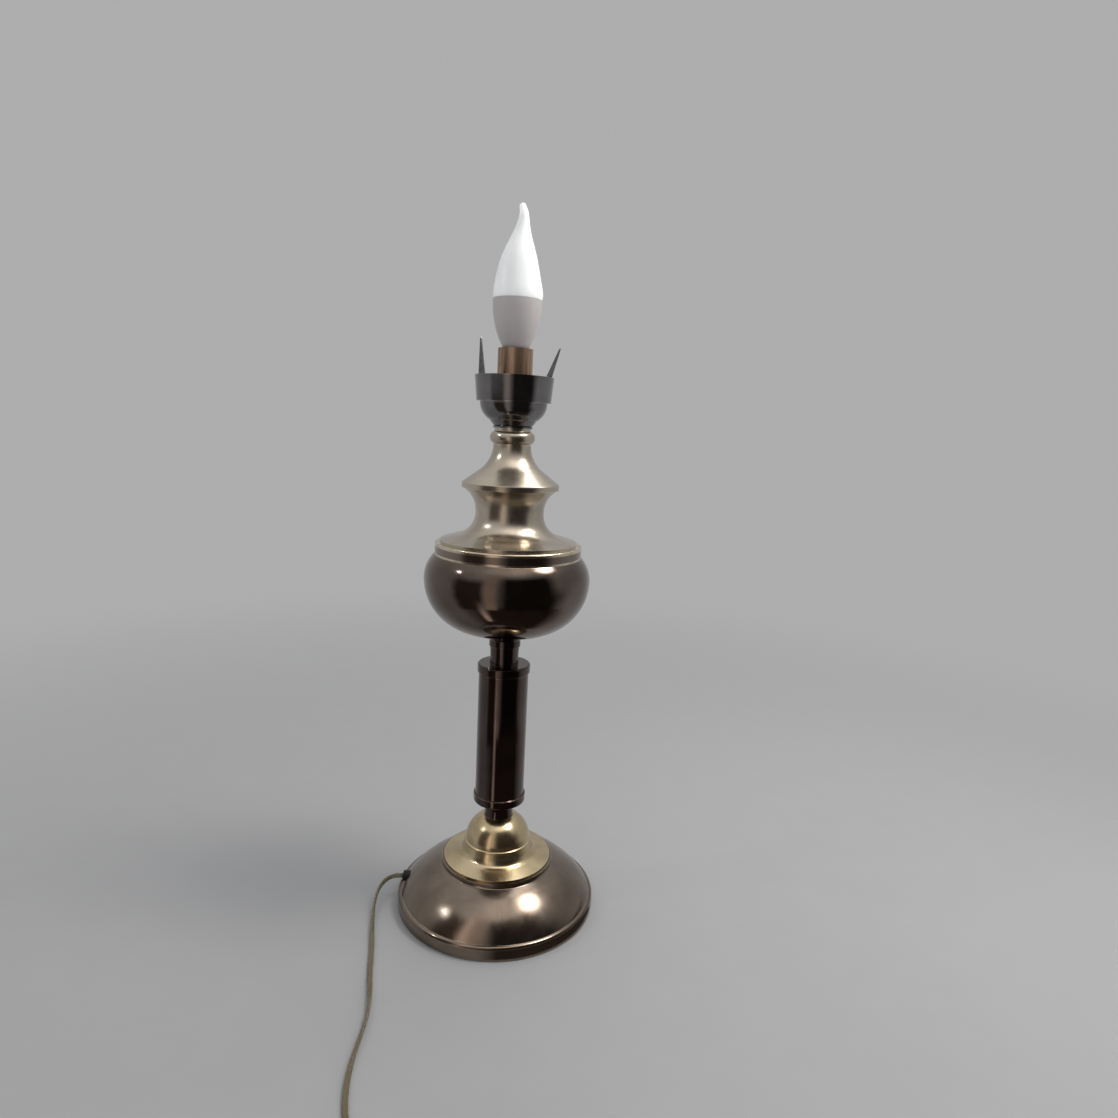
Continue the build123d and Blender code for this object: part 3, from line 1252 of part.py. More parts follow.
with BuildPart() as plug_relief:
    with BuildSketch(Plane(origin=(PLUG_X, PLUG_Y, PLUG_Z), z_dir=(1, 0, 0))):
        Circle(RELIEF_R)
    with BuildSketch(Plane(origin=(RELIEF_X, PLUG_Y, PLUG_Z), z_dir=(1, 0, 0))):
        Circle(RELIEF_TIP_R)
    loft()
save(plug_relief, "plug_relief")
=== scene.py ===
"""Looks of the candle-bulb table lamp.

Materials of the CAD's pieces, the flat twin flex, the thread of the bulb's cap, the plug's grips and the
rocker's marks, with a floor, surroundings, lights and a camera. A length with no other unit is in metres.
"""
import json
import math

import bmesh
import bpy
from mathutils import Matrix, Vector


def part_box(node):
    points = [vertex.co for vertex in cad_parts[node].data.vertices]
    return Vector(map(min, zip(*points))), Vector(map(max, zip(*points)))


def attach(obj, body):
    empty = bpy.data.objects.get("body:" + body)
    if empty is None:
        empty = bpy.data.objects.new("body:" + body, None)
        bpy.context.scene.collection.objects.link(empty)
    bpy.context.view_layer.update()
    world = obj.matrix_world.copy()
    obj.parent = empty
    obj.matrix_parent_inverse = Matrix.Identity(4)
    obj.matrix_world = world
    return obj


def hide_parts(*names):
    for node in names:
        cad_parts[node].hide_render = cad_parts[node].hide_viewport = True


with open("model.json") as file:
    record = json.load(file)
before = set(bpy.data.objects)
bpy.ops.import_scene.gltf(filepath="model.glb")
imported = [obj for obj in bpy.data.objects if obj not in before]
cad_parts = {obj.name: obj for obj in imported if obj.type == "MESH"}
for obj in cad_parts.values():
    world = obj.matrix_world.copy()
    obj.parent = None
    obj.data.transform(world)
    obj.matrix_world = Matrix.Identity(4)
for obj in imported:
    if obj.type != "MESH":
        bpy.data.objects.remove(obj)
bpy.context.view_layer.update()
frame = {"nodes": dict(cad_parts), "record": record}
MM = 0.001
X_AXIS, Y_AXIS, Z_AXIS = Vector((1, 0, 0)), Vector((0, 1, 0)), Vector((0, 0, 1))


# Camera at the photograph's place, its focal length in pixels of the photograph's frame
FRAME_PX = 1118
FOCAL_PX = 760.0
SENSOR_MM = 36.0
PITCH, ROLL, YAW = math.radians(9.9), math.radians(-2.8), math.radians(3.9)
CAMERA_AT = Vector((0.0, -601.2, 404.0)) * MM
CLIP_NEAR, CLIP_FAR = 0.02, 50.0


def add_camera():
    """The camera looks ahead and down, a little to the right, and is tilted a little to the left."""
    ahead = Vector((math.sin(YAW) * math.cos(PITCH), math.cos(YAW) * math.cos(PITCH), -math.sin(PITCH)))
    level = Vector((math.cos(YAW), -math.sin(YAW), 0.0))
    down = ahead.cross(level)
    right = level * math.cos(ROLL) + down * math.sin(ROLL)
    below = down * math.cos(ROLL) - level * math.sin(ROLL)
    data = bpy.data.cameras.new("camera")
    data.sensor_width = SENSOR_MM
    data.lens = FOCAL_PX / FRAME_PX * SENSOR_MM
    data.clip_start = CLIP_NEAR
    data.clip_end = CLIP_FAR
    camera = bpy.data.objects.new("camera", data)
    turn = Matrix((right, -below, -ahead)).transposed().to_4x4()
    camera.matrix_world = Matrix.Translation(CAMERA_AT) @ turn
    bpy.context.scene.collection.objects.link(camera)
    bpy.context.scene.camera = camera


add_camera()
bpy.context.scene.view_settings.view_transform = "Standard"


# Node helpers

# Sockets of a Mix node that mixes colours
MIX_FIRST, MIX_SECOND, MIX_RESULT = 6, 7, 2
# Cosines between an edge's rounded and plain normal: fully worn at the first, not worn at the second
EDGE_MATCH = (0.93, 0.995)
EDGE_SAMPLES = 6
BAND_SOFTNESS = 0.3 * MM


def feed(tree, value, into):
    """Gives a socket another node's result, a colour, a number or a vector."""
    if isinstance(value, bpy.types.NodeSocket):
        tree.links.new(value, into)
    elif into.type == "RGBA":
        into.default_value = (*value, 1.0)
    else:
        into.default_value = value


def node(tree, kind, **values):
    """A new node. Each value goes to the socket of its name, or else to the setting of its name."""
    made = tree.nodes.new(kind)
    for key, value in values.items():
        if key in made.inputs:
            feed(tree, value, made.inputs[key])
        else:
            setattr(made, key, value)
    return made


def dress(tree, shader, values):
    """Gives a shader's sockets their values by name."""
    for key, value in values.items():
        feed(tree, value, shader.inputs[key])


def new_material(name):
    """A material with its node tree and its shader."""
    made = bpy.data.materials.new(name)
    made.use_nodes = True
    tree = made.node_tree
    return made, tree, tree.nodes["Principled BSDF"]


def object_place(tree):
    """A point's place on the lamp, in metres."""
    return node(tree, "ShaderNodeTexCoord").outputs["Object"]


def noise(tree, where, scale, detail=3.0, roughness=0.55, distortion=0.0):
    """A cloudy pattern of values round 0.5."""
    made = node(
        tree, "ShaderNodeTexNoise",
        Vector=where, Scale=scale, Detail=detail, Roughness=roughness, Distortion=distortion,
    )
    return made.outputs["Fac"]


def remap(tree, value, start_end, to_start_end, ramp="LINEAR"):
    """A value carried from one range over to another, and held at its ends."""
    made = node(tree, "ShaderNodeMapRange", clamp=True, interpolation_type=ramp, Value=value)
    for key, number in zip(("From Min", "From Max", "To Min", "To Max"), (*start_end, *to_start_end)):
        made.inputs[key].default_value = number
    return made.outputs["Result"]


def rise(tree, value, start, end, most=1.0, ramp="LINEAR"):
    """0 up to the start, and most from the end on."""
    return remap(tree, value, (start, end), (0.0, most), ramp)


def work_out(tree, kind, operation, *values):
    """A Math or Vector Math node's number."""
    made = node(tree, kind, operation=operation)
    for into, value in zip(made.inputs, values):
        feed(tree, value, into)
    return made.outputs["Value"]


def times(tree, first, second):
    """Two numbers multiplied."""
    return work_out(tree, "ShaderNodeMath", "MULTIPLY", first, second)


def blend(tree, factor, first, second):
    """A colour between two."""
    made = node(tree, "ShaderNodeMix", data_type="RGBA", Factor=factor)
    feed(tree, first, made.inputs[MIX_FIRST])
    feed(tree, second, made.inputs[MIX_SECOND])
    return made.outputs[MIX_RESULT]


def mixed(tree, factor, first, second):
    """A shader between two."""
    made = node(tree, "ShaderNodeMixShader")
    for into, value in zip(made.inputs, (factor, first, second)):
        feed(tree, value, into)
    return made.outputs["Shader"]


def bump(tree, height, strength, distance):
    """The normal of a surface with fine relief."""
    made = node(tree, "ShaderNodeBump", Strength=strength, Distance=distance, Height=height)
    return made.outputs["Normal"]


def round_place(tree, where):
    """Distance from the lamp's axis and height, so that a pattern runs round it like marks of spinning."""
    parts = node(tree, "ShaderNodeSeparateXYZ", Vector=where).outputs
    flat = node(tree, "ShaderNodeCombineXYZ", X=parts["X"], Y=parts["Y"])
    from_axis = work_out(tree, "ShaderNodeVectorMath", "LENGTH", flat.outputs["Vector"])
    return node(tree, "ShaderNodeCombineXYZ", X=from_axis, Z=parts["Z"]).outputs["Vector"]


def worn_edges(tree, width):
    """How near a point is to a sharp edge of the piece, from the normal of an edge rounded to that width."""
    rounded = node(tree, "ShaderNodeBevel", samples=EDGE_SAMPLES, Radius=width).outputs["Normal"]
    plain = node(tree, "ShaderNodeNewGeometry").outputs["Normal"]
    match = work_out(tree, "ShaderNodeVectorMath", "DOT_PRODUCT", rounded, plain)
    return remap(tree, match, EDGE_MATCH, (1.0, 0.0))


def height_band(tree, where, low, high):
    """1 between two heights, with soft ends, and 0 elsewhere."""
    height = node(tree, "ShaderNodeSeparateXYZ", Vector=where).outputs["Z"]
    begins = rise(tree, height, low - BAND_SOFTNESS, low + BAND_SOFTNESS)
    ends = remap(tree, height, (high - BAND_SOFTNESS, high + BAND_SOFTNESS), (1.0, 0.0))
    return times(tree, begins, ends)


# Materials

PIT_SHADE = 0.4
EDGE_GAIN, EDGE_BRIGHTEST = 1.4, 0.9


def spun_metal(name, bright, tarnish, wear_and_highlight_colour, rough, lines, wobble, smear, pitted, wear_and_highlight_bands=()):
    """Polished spun sheet metal, with bands of height lightened, partly as rubbed-bare metal and partly as
    painted highlight.

    It has cloudy tarnish, pits, edges rubbed bare, fine marks of spinning, a faint wobble and smears.
    """
    made, tree, shader = new_material(name)
    where = object_place(tree)
    cloud = noise(tree, where, scale=26.0, detail=4.0, roughness=0.6, distortion=0.4)
    colour = blend(tree, rise(tree, cloud, 0.36, 0.72), bright, tarnish)
    pits = rise(tree, noise(tree, where, scale=420.0, detail=2.0, roughness=0.6), 0.68, 0.78, pitted)
    colour = blend(tree, pits, colour, tuple(PIT_SHADE * part for part in tarnish))
    patchy = remap(tree, noise(tree, where, scale=150.0, roughness=0.6), (0.35, 0.6), (0.15, 0.9))
    colour = blend(tree, times(tree, worn_edges(tree, 1.1 * MM), patchy), colour, wear_and_highlight_colour)
    # Bands of height lightened to the wear colour: partly rubbed-bare metal, partly painted highlight
    for low, high in wear_and_highlight_bands:
        wear_and_highlight_mask = remap(tree, noise(tree, where, scale=90.0, roughness=0.6), (0.3, 0.5), (0.5, 1.0))
        colour = blend(tree, times(tree, height_band(tree, where, low, high), wear_and_highlight_mask), colour, wear_and_highlight_colour)
    smears = noise(tree, where, scale=75.0, detail=5.0, roughness=0.65, distortion=1.2)
    marks = noise(tree, round_place(tree, where), scale=1500.0, detail=2.0, roughness=0.5)
    sheet = noise(tree, where, scale=24.0, detail=1.0, roughness=0.4)
    height = work_out(tree, "ShaderNodeMath", "MULTIPLY_ADD", marks, lines, sheet)
    dress(tree, shader, {
        "Base Color": colour,
        "Roughness": remap(tree, smears, (0.42, 0.75), (rough, rough + smear)),
        "Metallic": 1.0,
        "Coat Weight": 0.2,
        "Coat Roughness": 0.06,
        "Normal": bump(tree, height, strength=wobble, distance=2.0 * MM),
    })
    return made


def plain_metal(name, bright, dark, rough):
    """Plated or bare small metal: fine grain in colour and roughness, edges a little brighter."""
    made, tree, shader = new_material(name)
    where = object_place(tree)
    grain = noise(tree, where, scale=240.0, detail=4.0, roughness=0.6)
    colour = blend(tree, rise(tree, grain, 0.35, 0.7), bright, dark)
    edges = rise(tree, worn_edges(tree, 0.4 * MM), 0.0, 1.0, most=0.5)
    colour = blend(tree, edges, colour, tuple(min(EDGE_GAIN * part, EDGE_BRIGHTEST) for part in bright))
    dress(tree, shader, {
        "Base Color": colour,
        "Roughness": remap(tree, grain, (0.3, 0.7), (rough, rough + 0.14)),
        "Metallic": 1.0,
        "Normal": bump(tree, noise(tree, where, scale=480.0, detail=2.0), strength=0.02, distance=0.3 * MM),
    })
    return made


def moulded(name, colour, second, rough, grain=1600.0, depth=0.06, specular=0.5, scuff=(0.09, 0.09, 0.088)):
    """Moulded plastic, rubber or glaze: faint clouds of colour, a fine grain, edges scuffed in places."""
    made, tree, shader = new_material(name)
    where = object_place(tree)
    base = blend(tree, rise(tree, noise(tree, where, scale=60.0), 0.35, 0.7), colour, second)
    patchy = rise(tree, noise(tree, where, scale=220.0, detail=4.0, roughness=0.6), 0.45, 0.62, most=0.5)
    base = blend(tree, times(tree, worn_edges(tree, 0.6 * MM), patchy), base, scuff)
    gloss = noise(tree, where, scale=180.0, detail=4.0)
    dress(tree, shader, {
        "Base Color": base,
        "Roughness": remap(tree, gloss, (0.3, 0.7), (rough, rough + 0.10)),
        "Specular IOR Level": specular,
        "Normal": bump(tree, noise(tree, where, scale=grain, detail=2.0), strength=depth, distance=0.3 * MM),
    })
    return made


def opal(name, colour, second, inner):
    """Opal plastic, lit a little from inside its wall by scattering."""
    made, tree, shader = new_material(name)
    where = object_place(tree)
    cloud = noise(tree, where, scale=35.0, detail=2.0, roughness=0.5)
    dress(tree, shader, {
        "Base Color": blend(tree, cloud, colour, second),
        "Roughness": remap(tree, noise(tree, where, scale=300.0), (0.3, 0.7), (0.28, 0.40)),
        "Subsurface Weight": inner,
        "Subsurface Radius": (1.0, 1.0, 1.0),
        "Subsurface Scale": 6.0 * MM,
        "Normal": bump(tree, noise(tree, where, scale=2200.0, detail=2.0), strength=0.03, distance=0.2 * MM),
    })
    return made


def felt(name):
    """Green felt of tangled fibres."""
    made, tree, shader = new_material(name)
    fibre = noise(tree, object_place(tree), scale=900.0, detail=6.0, roughness=0.75, distortion=1.5)
    dress(tree, shader, {
        "Base Color": blend(tree, fibre, (0.012, 0.03, 0.02), (0.04, 0.075, 0.05)),
        "Roughness": 0.95,
        "Sheen Weight": 0.4,
        "Normal": bump(tree, fibre, strength=0.6, distance=0.8 * MM),
    })
    return made


def cast_iron(name):
    """Rough casting with patches of rust."""
    made, tree, shader = new_material(name)
    where = object_place(tree)
    lumps = noise(tree, where, scale=260.0, detail=6.0, roughness=0.7)
    rust = rise(tree, noise(tree, where, scale=45.0, detail=5.0, roughness=0.6), 0.52, 0.72, most=0.7)
    dress(tree, shader, {
        "Base Color": blend(tree, rust, (0.055, 0.052, 0.05), (0.16, 0.07, 0.035)),
        "Roughness": 0.7,
        "Metallic": 0.6,
        "Normal": bump(tree, lumps, strength=0.5, distance=1.0 * MM),
    })
    return made


def clear_flex(name):
    """Gold-tinted clear sleeve of the twin flex."""
    made, tree, shader = new_material(name)
    haze = noise(tree, object_place(tree), scale=140.0, detail=4.0, roughness=0.6)
    dress(tree, shader, {
        "Base Color": blend(tree, haze, (0.44, 0.38, 0.25), (0.32, 0.27, 0.165)),
        "Roughness": remap(tree, haze, (0.3, 0.7), (0.18, 0.34)),
        "Transmission Weight": 0.75,
        "IOR": 1.45,
    })
    return made


def copper_strands(name):
    """Fine copper strands inside the clear flex."""
    made, tree, shader = new_material(name)
    strands = noise(tree, object_place(tree), scale=1900.0, roughness=0.7, distortion=0.8)
    dress(tree, shader, {
        "Base Color": blend(tree, strands, (0.24, 0.17, 0.10), (0.15, 0.10, 0.055)),
        "Roughness": 0.35,
        "Metallic": 1.0,
        "Normal": bump(tree, strands, strength=0.4, distance=0.4 * MM),
    })
    return made


def streaked_copper(name):
    """Copper-toned metal with long streaks up its side."""
    made, tree, shader = new_material(name)
    where = object_place(tree)
    drawn_out = node(tree, "ShaderNodeMapping", Vector=where, Scale=(1.0, 1.0, 0.06)).outputs["Vector"]
    streaks = noise(tree, drawn_out, scale=190.0, detail=4.0, roughness=0.6)
    cloud = noise(tree, where, scale=60.0, detail=4.0, roughness=0.6)
    base = blend(tree, rise(tree, streaks, 0.35, 0.68), (0.52, 0.35, 0.235), (0.16, 0.10, 0.068))
    dress(tree, shader, {
        "Base Color": blend(tree, rise(tree, cloud, 0.5, 0.75, most=0.6), base, (0.21, 0.142, 0.10)),
        "Roughness": remap(tree, streaks, (0.3, 0.7), (0.26, 0.42)),
        "Metallic": 1.0,
        "Normal": bump(tree, streaks, strength=0.10, distance=0.6 * MM),
    })
    return made


# The record's slots, by the function that makes each one's material
LOOKS = {
    spun_metal: {
        "smoky_brass": dict(
            bright=(0.255, 0.203, 0.16), tarnish=(0.155, 0.121, 0.093), wear_and_highlight_colour=(0.56, 0.47, 0.35),
            rough=0.17, lines=0.015, wobble=0.10, smear=0.08, pitted=0.3,
        ),
        "yellow_brass": dict(
            bright=(0.66, 0.54, 0.335), tarnish=(0.44, 0.34, 0.195), wear_and_highlight_colour=(0.82, 0.70, 0.46),
            rough=0.20, lines=0.006, wobble=0.08, smear=0.08, pitted=0.2,
        ),
        "smoked_bronze": dict(
            bright=(0.10, 0.072, 0.063), tarnish=(0.055, 0.04, 0.036), wear_and_highlight_colour=(0.30, 0.22, 0.16),
            rough=0.07, lines=0.01, wobble=0.06, smear=0.08, pitted=0.6,
        ),
        "dark_bronze": dict(
            bright=(0.165, 0.128, 0.105), tarnish=(0.095, 0.072, 0.058), wear_and_highlight_colour=(0.55, 0.46, 0.33),
            rough=0.10, lines=0.01, wobble=0.08, smear=0.08, pitted=0.4,
        ),
        "pale_brass": dict(
            bright=(0.58, 0.51, 0.415), tarnish=(0.39, 0.335, 0.26), wear_and_highlight_colour=(0.72, 0.64, 0.50),
            rough=0.23, lines=0.005, wobble=0.06, smear=0.06, pitted=0.1,
        ),
        "black_chrome": dict(
            bright=(0.21, 0.20, 0.20), tarnish=(0.12, 0.113, 0.113), wear_and_highlight_colour=(0.40, 0.39, 0.38),
            rough=0.10, lines=0.008, wobble=0.08, smear=0.14, pitted=0.6,
        ),
    },
    plain_metal: {
        "plain_steel": dict(bright=(0.50, 0.50, 0.49), dark=(0.36, 0.36, 0.35), rough=0.38),
        "zinc_steel": dict(bright=(0.60, 0.60, 0.58), dark=(0.44, 0.44, 0.42), rough=0.30),
        "dark_steel": dict(bright=(0.19, 0.186, 0.184), dark=(0.12, 0.117, 0.115), rough=0.42),
        "nickel": dict(bright=(0.72, 0.70, 0.66), dark=(0.58, 0.56, 0.53), rough=0.18),
    },
    moulded: {
        "black_rubber": dict(
            colour=(0.010, 0.009, 0.009), second=(0.016, 0.015, 0.014), rough=0.55,
            grain=900.0, depth=0.12, specular=0.25, scuff=(0.04, 0.039, 0.038),
        ),
        "black_plastic": dict(colour=(0.012, 0.012, 0.012), second=(0.02, 0.02, 0.02), rough=0.22),
        "black_rocker": dict(colour=(0.02, 0.02, 0.02), second=(0.03, 0.03, 0.03), rough=0.3),
        "white_ceramic": dict(
            colour=(0.80, 0.79, 0.75), second=(0.86, 0.85, 0.82), rough=0.15, scuff=(0.70, 0.68, 0.63),
        ),
        "brown_wire": dict(colour=(0.16, 0.07, 0.035), second=(0.20, 0.09, 0.045), rough=0.3),
        "blue_wire": dict(colour=(0.04, 0.12, 0.38), second=(0.05, 0.15, 0.44), rough=0.3),
        "white_board": dict(
            colour=(0.80, 0.80, 0.78), second=(0.75, 0.75, 0.73), rough=0.5, scuff=(0.66, 0.66, 0.62),
        ),
        "yellow_led": dict(
            colour=(0.85, 0.68, 0.12), second=(0.75, 0.58, 0.10), rough=0.25, scuff=(0.8, 0.75, 0.6),
        ),
        "green_board": dict(colour=(0.03, 0.20, 0.08), second=(0.04, 0.25, 0.10), rough=0.4),
    },
    opal: {
        "white_diffuser": dict(colour=(0.93, 0.94, 0.95), second=(0.90, 0.91, 0.92), inner=0.5),
        # The bulb's housing is white plastic. It is made grey here as painted shade
        "grey_plastic": dict(colour=(0.375, 0.35, 0.345), second=(0.335, 0.312, 0.307), inner=0.05),
    },
    felt: {"felt": {}},
    cast_iron: {"cast_iron": {}},
    clear_flex: {"gold_flex": {}},
    streaked_copper: {"copper_brass": {}},
}
MATERIALS = {}
for make, slots in LOOKS.items():
    for slot, look in slots.items():
        MATERIALS[slot] = make(slot, **look)

# The font's ring is dark too, but a little lighter than the bowl as a painted reflection. Its lower and upper
# edges are lightened, partly as rubbed-down brass and partly as painted highlight
WEAR_AND_HIGHLIGHT_LOW, WEAR_AND_HIGHLIGHT_HIGH = 1.5 * MM, 2.5 * MM
PAST_RING = 1.0 * MM
ring_bottom, ring_top = (corner[2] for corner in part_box("font_rim"))
RING_EDGES = (
    (ring_bottom - PAST_RING, ring_bottom + WEAR_AND_HIGHLIGHT_LOW),
    (ring_top - WEAR_AND_HIGHLIGHT_HIGH, ring_top + PAST_RING),
)
OWN_MATERIALS = {
    "font_rim": spun_metal(
        "bronze_worn_and_painted_sheen",
        bright=(0.26, 0.207, 0.172), tarnish=(0.16, 0.125, 0.102), wear_and_highlight_colour=(0.70, 0.60, 0.45),
        rough=0.16, lines=0.01, wobble=0.10, smear=0.12, pitted=0.6,
        wear_and_highlight_bands=RING_EDGES,
    ),
}
for subpart in frame["record"]["subparts"]:
    mesh = frame["nodes"][subpart["node"]].data
    mesh.materials.clear()
    mesh.materials.append(OWN_MATERIALS.get(subpart["node"], MATERIALS[subpart["material_slot"]]))


# Mesh helpers

def smooth_step(share):
    """From 0 to 1 with a soft start and end."""
    share = min(max(share, 0.0), 1.0)
    return share * share * (3 - 2 * share)


def skin(shape, rings, looped=False):
    """Faces from each ring to the next: with both ends closed, or on from the last ring to the first."""
    count = len(rings[0])
    following = rings[1:] + rings[:1] if looped else rings[1:]
    for ring, after in zip(rings, following):
        for i in range(count):
            j = (i + 1) % count
            shape.faces.new((ring[i], ring[j], after[j], after[i]))
    if not looped:
        shape.faces.new(list(reversed(rings[0])))
        shape.faces.new(rings[-1])


def object_of(name, shape, material):
    """A linked object with the shape's faces. The shape is used up."""
    mesh = bpy.data.meshes.new(name)
    shape.to_mesh(mesh)
    shape.free()
    mesh.materials.append(material)
    made = bpy.data.objects.new(name, mesh)
    bpy.context.scene.collection.objects.link(made)
    return made


def add_piece(name, shape, material, body):
    """A piece of the lamp that moves with a body."""
    bmesh.ops.recalc_face_normals(shape, faces=shape.faces)
    made = object_of(name, shape, material)
    made.data.shade_smooth()
    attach(made, body)
    return made


# The twin flex: its route in millimetres, from the bush round the foot to the switch, the coil and the plug
CORD_D = 3.8
CORE_R = CORD_D / 4
COIL_X, COIL_Y = 52.0, -284.0
COIL_R, COIL_STEP, COIL_LAYER = 33.0, 4.2, 4.2
COIL_LOW_Z = 2.85
COIL_TURNS, CLIMB_TURNS = 9.5, 0.5
POINTS_PER_TURN = 16
ROUTE_ORDER, ROUTE_RESOLUTION = 3, 5
SWITCH_X, SWITCH_Y, SWITCH_Z = -3.8, -251.0, 7.0
PLUG_Y, PLUG_Z = -317.0, 7.0
EXIT = (-80.19, 7.02, 14.0)
LEAD = [
    EXIT,
    (-87.77, 7.68, 14.0),
    (-95.6, 4.2, 11.6),
    (-100.2, -4.6, 7.6),
    (-100.8, -17.0, 3.6),
    (-99.2, -33.0, 1.95),
    (-96.6, -51.0, 1.6),
    (-93.2, -72.0, 1.1),
    (-90.4, -95.0, 1.2),
    (-86.2, -117.0, 1.75),
    (-83.8, -137.0, 2.0),
    (-85.4, -158.0, 2.0),
    (-87.2, -181.0, 1.8),
    (-85.6, -204.0, 1.2),
    (-80.0, -224.0, 1.1),
    (-70.0, -239.0, 1.5),
    (-57.2, -248.2, 4.2),
    (-42.8, SWITCH_Y, SWITCH_Z),
    (-29.8, SWITCH_Y, SWITCH_Z),
]
TO_COIL = [
    (22.2, SWITCH_Y, SWITCH_Z),
    (30.0, SWITCH_Y, SWITCH_Z),
    (37.5, SWITCH_Y, 6.2),
    (44.5, SWITCH_Y, 3.7),
]
FROM_COIL = [
    (44.5, PLUG_Y, 7.1),
    (37.5, PLUG_Y, 7.0),
    (30.0, PLUG_Y, PLUG_Z),
    (25.7, PLUG_Y, PLUG_Z),
]


def coil_points():
    """The coil's turns, clockwise: in along the lower layer, up at the middle, out along the upper layer."""
    # A spline of order 3 runs inside points that stand on a circle, so they stand this much further out
    drawn_out = 8.0 / (6.0 + 2.0 * math.cos(2.0 * math.pi / POINTS_PER_TURN))
    found = []
    for step in range(1, int(COIL_TURNS * POINTS_PER_TURN)):
        turns = step / POINTS_PER_TURN
        radius = (COIL_R - COIL_STEP * min(turns, COIL_TURNS - turns)) * drawn_out
        angle = math.pi / 2 - 2 * math.pi * turns
        climb = smooth_step((turns - COIL_TURNS / 2 + CLIMB_TURNS / 2) / CLIMB_TURNS)
        height = COIL_LOW_Z + COIL_LAYER * climb
        found.append((COIL_X + radius * math.cos(angle), COIL_Y + radius * math.sin(angle), height))
    return found


def smooth_line(points):
    """Points read along the smooth curve that has the route's points as its control points, in metres."""
    data = bpy.data.curves.new("route", "CURVE")
    data.dimensions = "3D"
    data.resolution_u = ROUTE_RESOLUTION
    spline = data.splines.new("NURBS")
    spline.points.add(len(points) - 1)
    for point, place in zip(spline.points, points):
        point.co = (*(part * MM for part in place), 1.0)
    spline.order_u = ROUTE_ORDER
    spline.use_endpoint_u = True
    holder = bpy.data.objects.new("route", data)
    bpy.context.scene.collection.objects.link(holder)
    bpy.context.view_layer.update()
    mesh = bpy.data.meshes.new_from_object(holder.evaluated_get(bpy.context.evaluated_depsgraph_get()))
    line = [vertex.co.copy() for vertex in mesh.vertices]
    bpy.data.meshes.remove(mesh)
    bpy.data.objects.remove(holder)
    bpy.data.curves.remove(data)
    return line


def distances_along(line):
    """How far along the line each of its points is."""
    found = [0.0]
    for here, there in zip(line, line[1:]):
        found.append(found[-1] + (there - here).length)
    return found


cord_line = smooth_line(LEAD + TO_COIL + coil_points() + FROM_COIL)
walked = distances_along(cord_line)

# The flat flex sways between flat and on edge along the lead, and stands on edge in the coil.
# A point of the line is in the coil to the right of COIL_START_X and nearer to the viewer than COIL_SIDE_Y.
COIL_START_X, COIL_SIDE_Y = 30.0 * MM, -250.5 * MM
TWIST_RUN = 50.0 * MM
SWAY_START_Y, SWAY_PERIOD, SWAYS = -10.0 * MM, 140.0 * MM, 1.5
SWAY_END_Y = SWAY_START_Y - SWAYS * SWAY_PERIOD
in_coil = [
    distance for place, distance in zip(cord_line, walked) if place.y < COIL_SIDE_Y and place.x > COIL_START_X
]


def turned_on_edge(place, distance):
    """How far the flex is turned: 0 where it lies flat, 1 where it is on edge."""
    if distance < in_coil[0] - TWIST_RUN and place.y > SWAY_END_Y:
        return 0.5 + 0.5 * math.cos(2 * math.pi * (place.y - SWAY_START_Y) / SWAY_PERIOD)
    return smooth_step(min(distance - in_coil[0], in_coil[-1] - distance) / TWIST_RUN)


def cord_axes():
    """The directions across and up the flex at each of the line's points."""
    found = []
    last = len(cord_line) - 1
    for index, place in enumerate(cord_line):
        along = (cord_line[min(index + 1, last)] - cord_line[max(index - 1, 0)]).normalized()
        level = along.cross(Z_AXIS).normalized()
        upright = level.cross(along).normalized()
        turn = turned_on_edge(place, walked[index]) * math.pi / 2
        across = level * math.cos(turn) + upright * math.sin(turn)
        up = upright * math.cos(turn) - level * math.sin(turn)
        found.append((across, up))
    return found


def swept(section):
    """A tube along the cord's line. The section is a ring of (across, up) offsets in millimetres."""
    shape = bmesh.new()
    rings = []
    for place, (across, up) in zip(cord_line, cord_axes()):
        rings.append([shape.verts.new(place + across * (a * MM) + up * (b * MM)) for a, b in section])
    skin(shape, rings)
    return shape


CORE_ARC, CORE_STEPS = math.radians(250), 7
STRAND_R, STRAND_STEPS = 0.62 * CORE_R, 8


def twin_section():
    """Two round cores side by side with a narrow web between them."""
    found = []
    for side in (1, -1):
        for step in range(CORE_STEPS):
            angle = CORE_ARC * (step / (CORE_STEPS - 1) - 0.5)
            found.append((side * CORE_R * (1 + math.cos(angle)), side * CORE_R * math.sin(angle)))
    return found


def strand_section(side):
    """The round bundle of strands in the middle of one core."""
    angles = [2 * math.pi * step / STRAND_STEPS for step in range(STRAND_STEPS)]
    return [(side * CORE_R + STRAND_R * math.cos(angle), STRAND_R * math.sin(angle)) for angle in angles]


flex = add_piece("twin_flex", swept(twin_section()), MATERIALS["gold_flex"], "lamp")
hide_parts("cord_lead", "cord_coil")
strand_material = copper_strands("copper_strands")
strands = [
    add_piece(name, swept(strand_section(side)), strand_material, "lamp")
    for side, name in ((1, "flex_core_a"), (-1, "flex_core_b"))
]


# The bulb's screw cap, with its thread
CAP_LOW, CAP_HIGH = 438.0 * MM, 459.2 * MM
THREAD_R, THREAD_DEPTH, THREAD_PITCH = 6.88 * MM, 0.75 * MM, 2.82 * MM
THREAD_FADE = 2.4 * MM
THREAD_STEPS, THREAD_ROWS = 64, 96


